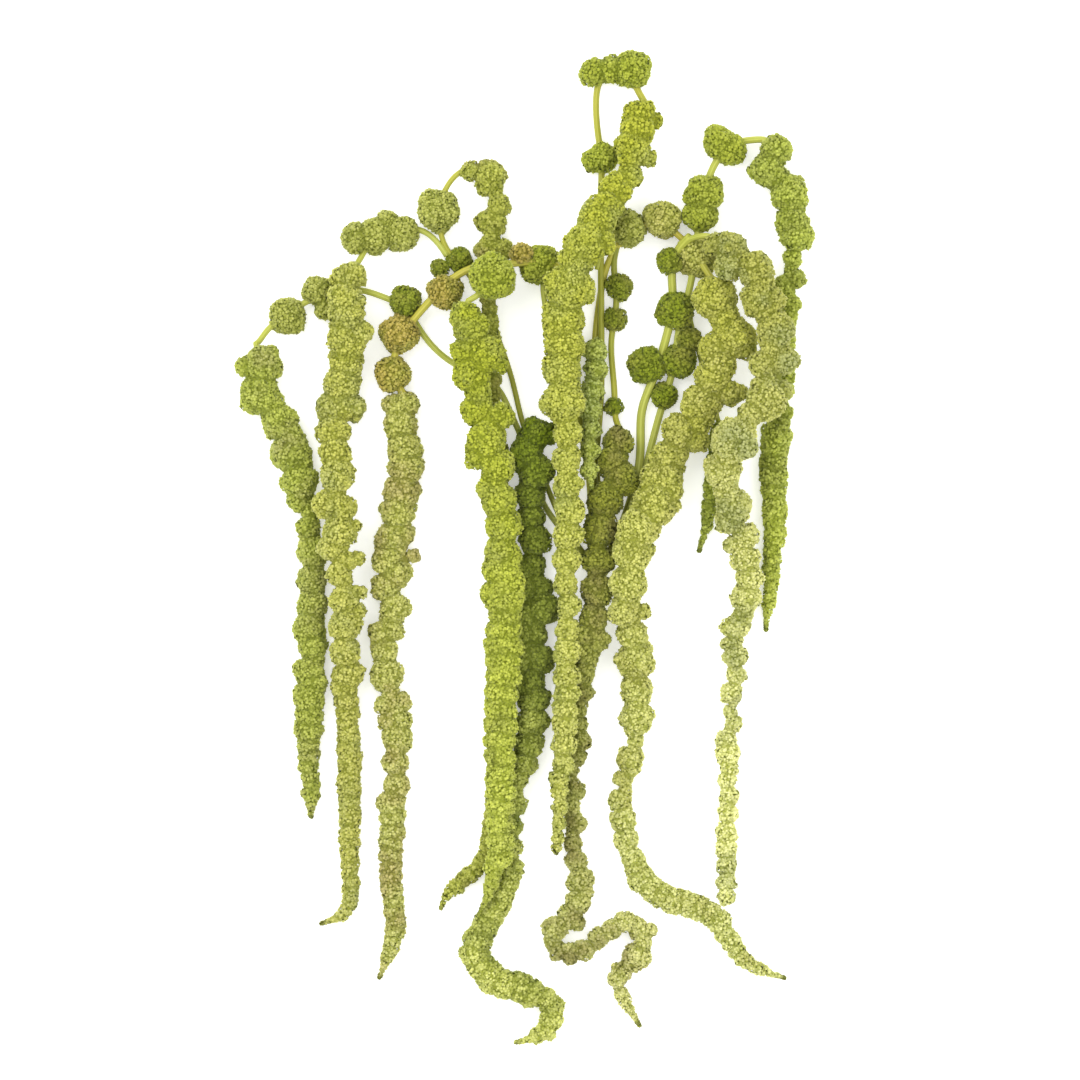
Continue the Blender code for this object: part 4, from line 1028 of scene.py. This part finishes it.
def heights_inside(x, y, radius, skin):
    """Heights at which a stem of a radius fits inside the solid at a place in plan."""
    hits = []
    place = Vector((x, y, RAY_START))
    while True:
        hit = skin.ray_cast(place, Vector((0.0, 0.0, -1.0)))[0]
        if hit is None:
            break
        hits.append(hit.z)
        place = hit - Vector((0.0, 0.0, RAY_STEP))
    heights = []
    for high, low in zip(hits[0::2], hits[1::2]):
        if high - low > MOST_THICKNESS * radius:
            heights.extend(np.arange(low + radius, high - radius + HEIGHT_STEP, HEIGHT_STEP))
        elif high - low > LEAST_THICKNESS * radius:
            heights.append(0.5 * (high + low))
    return np.array(heights)


def stem_line(name, skin, start_height, end_height):
    """Centre line of a bare stem: its plan route, at the heights that climb and drop least."""
    spec = STEMS[name]
    radius = spec["radius"] * MM
    plan = curve(np.array(spec["route"]) * MM + shift, ROUTE_STEP)
    run = run_of(plan)
    columns = []
    for i, (x, y) in enumerate(plan):
        heights = heights_inside(x, y, radius, skin)
        if len(heights):
            columns.append((run[i], heights))
    if start_height is not None:
        columns.insert(0, (-ROUTE_STEP, np.array([start_height])))
    if end_height is not None:
        columns.append((run[-1] + ROUTE_STEP, np.array([end_height])))
    costs = [np.zeros(len(columns[0][1]))]
    picks = []
    for (before, low), (here, high) in zip(columns[:-1], columns[1:]):
        climb = (high[None] - low[:, None]) / max(here - before, 0.5 * ROUTE_STEP)
        total = costs[-1][:, None] + climb**2
        picks.append(total.argmin(axis=0))
        costs.append(total.min(axis=0))
    pick = int(costs[-1].argmin())
    chosen = [pick]
    for back in reversed(picks):
        pick = int(back[pick])
        chosen.append(pick)
    chosen.reverse()
    heights = np.array([column[1][k] for column, k in zip(columns, chosen)])
    z = np.interp(run, [column[0] for column in columns], heights)
    return smoothed(np.column_stack([plan, z]), STEM_SMOOTHING)


def tube(line, radii, colours, ribs):
    """A ribbed skin round a line: points, faces and layer, closed at both ends."""
    headings = unit(np.gradient(line, axis=0))
    sides = 2 * ribs
    angle = math.tau * np.arange(sides) / sides
    ridge = np.arange(sides) % 2 == 0
    swell = np.where(ridge, 1.0, 1.0 - RIB_DEPTH)
    points = []
    layer = []
    for centre, heading, radius, colour in zip(line, headings, radii, colours):
        side, up = crosswise(heading)
        ring = radius * swell[:, None] * (np.cos(angle)[:, None] * side + np.sin(angle)[:, None] * up)
        points.append(centre + ring)
        layer.append(np.column_stack([np.tile(colour, (sides, 1)), ridge]))
    points = np.vstack(points + [line[:1], line[-1:]])
    layer = np.vstack(layer + [np.append(colours[0], CAP_RIB), np.append(colours[-1], CAP_RIB)])
    rings = len(line)
    k = np.arange(rings - 1)[:, None] * sides
    j = np.arange(sides)[None]
    a, b = k + j, k + (j + 1) % sides
    d, c = a + sides, b + sides
    faces = [np.stack([a, b, c], axis=2).reshape(-1, 3), np.stack([a, c, d], axis=2).reshape(-1, 3)]
    first, last = rings * sides, rings * sides + 1
    j = np.arange(sides)
    ends = (rings - 1) * sides
    faces.append(np.column_stack([(j + 1) % sides, j, np.full(sides, first)]))
    faces.append(np.column_stack([ends + j, ends + (j + 1) % sides, np.full(sides, last)]))
    points[:, 2] = np.maximum(points[:, 2], FLOOR_CLEARANCE)
    return points, np.vstack(faces), layer


def add_stems(axes):
    """Every bare stem as a smooth ribbed tube. Returns the centre lines."""
    points, triangles = node_skin("stem")
    skin = BVHTree.FromPolygons(points.tolist(), triangles.tolist())
    lines = {}
    parts = []
    for name, spec in STEMS.items():
        from_crown = math.dist(spec["route"][0], MAIN_STEM[1]) < MAIN_STEM_RADIUS
        start = CROWN_HEIGHT if from_crown else None
        end = axes[name][0][0][2] if name in axes else None
        line = stem_line(name, skin, start, end)
        lines[name] = line
        if name in axes:
            into = axes[name][0]
            reach = int(STEM_INTO_TAIL / AXIS_STEP)
            line = smoothed(np.vstack([line, into[1:reach]]), JOINT_SMOOTHING)
        line, run = resampled(line, STEM_STEP)
        waves = smoothed(random_of(name + "_stem").normal(size=(len(line), 1)), STEM_WAVE)[:, 0]
        share = (run / run[-1])[:, None]
        low, high = (np.array(colour) for colour in STEM_TINTS[spec["tint"]])
        colours = (1 - share) * low + share * high
        radii = STEM_GROWTH * spec["radius"] * MM * (1.0 + STEM_UNEVENNESS * waves)
        parts.append(tube(line, radii, colours, STEM_RIBS))
    plan = curve(np.array(MAIN_STEM) * MM + shift, ROUTE_STEP)
    radii = MAIN_STEM_RADIUS * MM * np.interp(
        np.linspace(0, 1, len(plan)), np.linspace(0, 1, len(MAIN_STEM)), MAIN_STEM_TAPER)
    colours = np.tile(STEM_TINTS["pale"][0], (len(plan), 1))
    parts.append(tube(np.column_stack([plan, radii]), radii, colours, 2 * STEM_RIBS))
    first = np.cumsum([0] + [len(part[0]) for part in parts])
    points = np.vstack([part[0] for part in parts])
    faces = np.vstack([part[1] + start for part, start in zip(parts, first)])
    layer = np.vstack([part[2] for part in parts])
    add_piece("stems", mesh_of("stems", points, faces, layer), stem_material(), "stem")
    return lines


def add_balls(lines):
    """The loose balls of florets on the stems, a piece for each colour."""
    rows = {tint: [] for tint in BALLS}
    for name, spec in STEMS.items():
        source = random_of(name + "_balls")
        for x, y, radius, tint in spec.get("balls", ()):
            x, y = np.array((x, y)) * MM + shift
            line = lines[name]
            nearest = np.hypot(line[:, 0] - x, line[:, 1] - y).argmin()
            centre = np.array((x, y, line[nearest, 2]))
            rows[tint].append((*centre, radius * MM + LOOSE_GROWTH, source.uniform()))
    for tint, (colour, patch, slot) in BALLS.items():
        name = "balls_" + tint
        source = random_of(name)
        balls = np.array(rows[tint])
        mesh = covered_mesh(name, balls, np.array(lump_group(balls, source)), source)
        add_piece(name, mesh, floret_material(name, (colour, colour, patch)))


def add_tails():
    """Cover every tail in florets. Returns the axes."""
    axes = {}
    for name, colours in TAILS.items():
        axes[name] = tail_axis(name)
        source = random_of(name)
        mesh = covered_mesh(name + "_florets", *tail_parts(name, *axes[name], source), source)
        add_piece(name + "_florets", mesh, floret_material(name, colours), name)
    return axes


def add_stage():
    """Plain floor, soft light all round and two large soft lamps above."""
    bm = bmesh.new()
    bmesh.ops.create_grid(bm, x_segments=1, y_segments=1, size=FLOOR_HALF)
    mesh = bpy.data.meshes.new("floor")
    bm.to_mesh(mesh)
    bm.free()
    floor = add_object("floor", mesh)
    material = bpy.data.materials.new("floor")
    material.use_nodes = True
    set_inputs(material.node_tree.nodes["Principled BSDF"], FLOOR_SHADER)
    mesh.materials.append(material)

    world = bpy.data.worlds.new("soft_light")
    world.use_nodes = True
    background = world.node_tree.nodes["Background"]
    set_inputs(background, {"Color": (1.0, 1.0, 1.0, 1.0), "Strength": WORLD_LIGHT})
    bpy.context.scene.world = world

    for name, (place, size, power) in LAMPS.items():
        light = bpy.data.lights.new(name, "AREA")
        light.shape = "DISK"
        light.size = size
        light.energy = power
        item = add_object(name, light)
        item.location = place
        item.rotation_euler = (-Vector(place)).to_track_quat("-Z", "Y").to_euler()


def add_camera():
    """The camera straight above the head, with the photograph's frame."""
    camera = bpy.data.cameras.new("camera")
    camera.sensor_width = SENSOR
    camera.lens = SENSOR * CAMERA_HEIGHT / FRAME_WIDTH
    camera.clip_end = 2 * CAMERA_HEIGHT
    item = add_object("camera", camera)
    x, y = np.array(PLAN_CENTRE) * MM + shift
    item.location = (x, y, CAMERA_HEIGHT + OBJECT_MIDDLE)
    bpy.context.scene.camera = item
    bpy.context.scene.view_settings.view_transform = "Standard"


bpy.context.view_layer.update()
shift = plan_shift()
add_balls(add_stems(add_tails()))
add_stage()
add_camera()
bpy.context.view_layer.update()
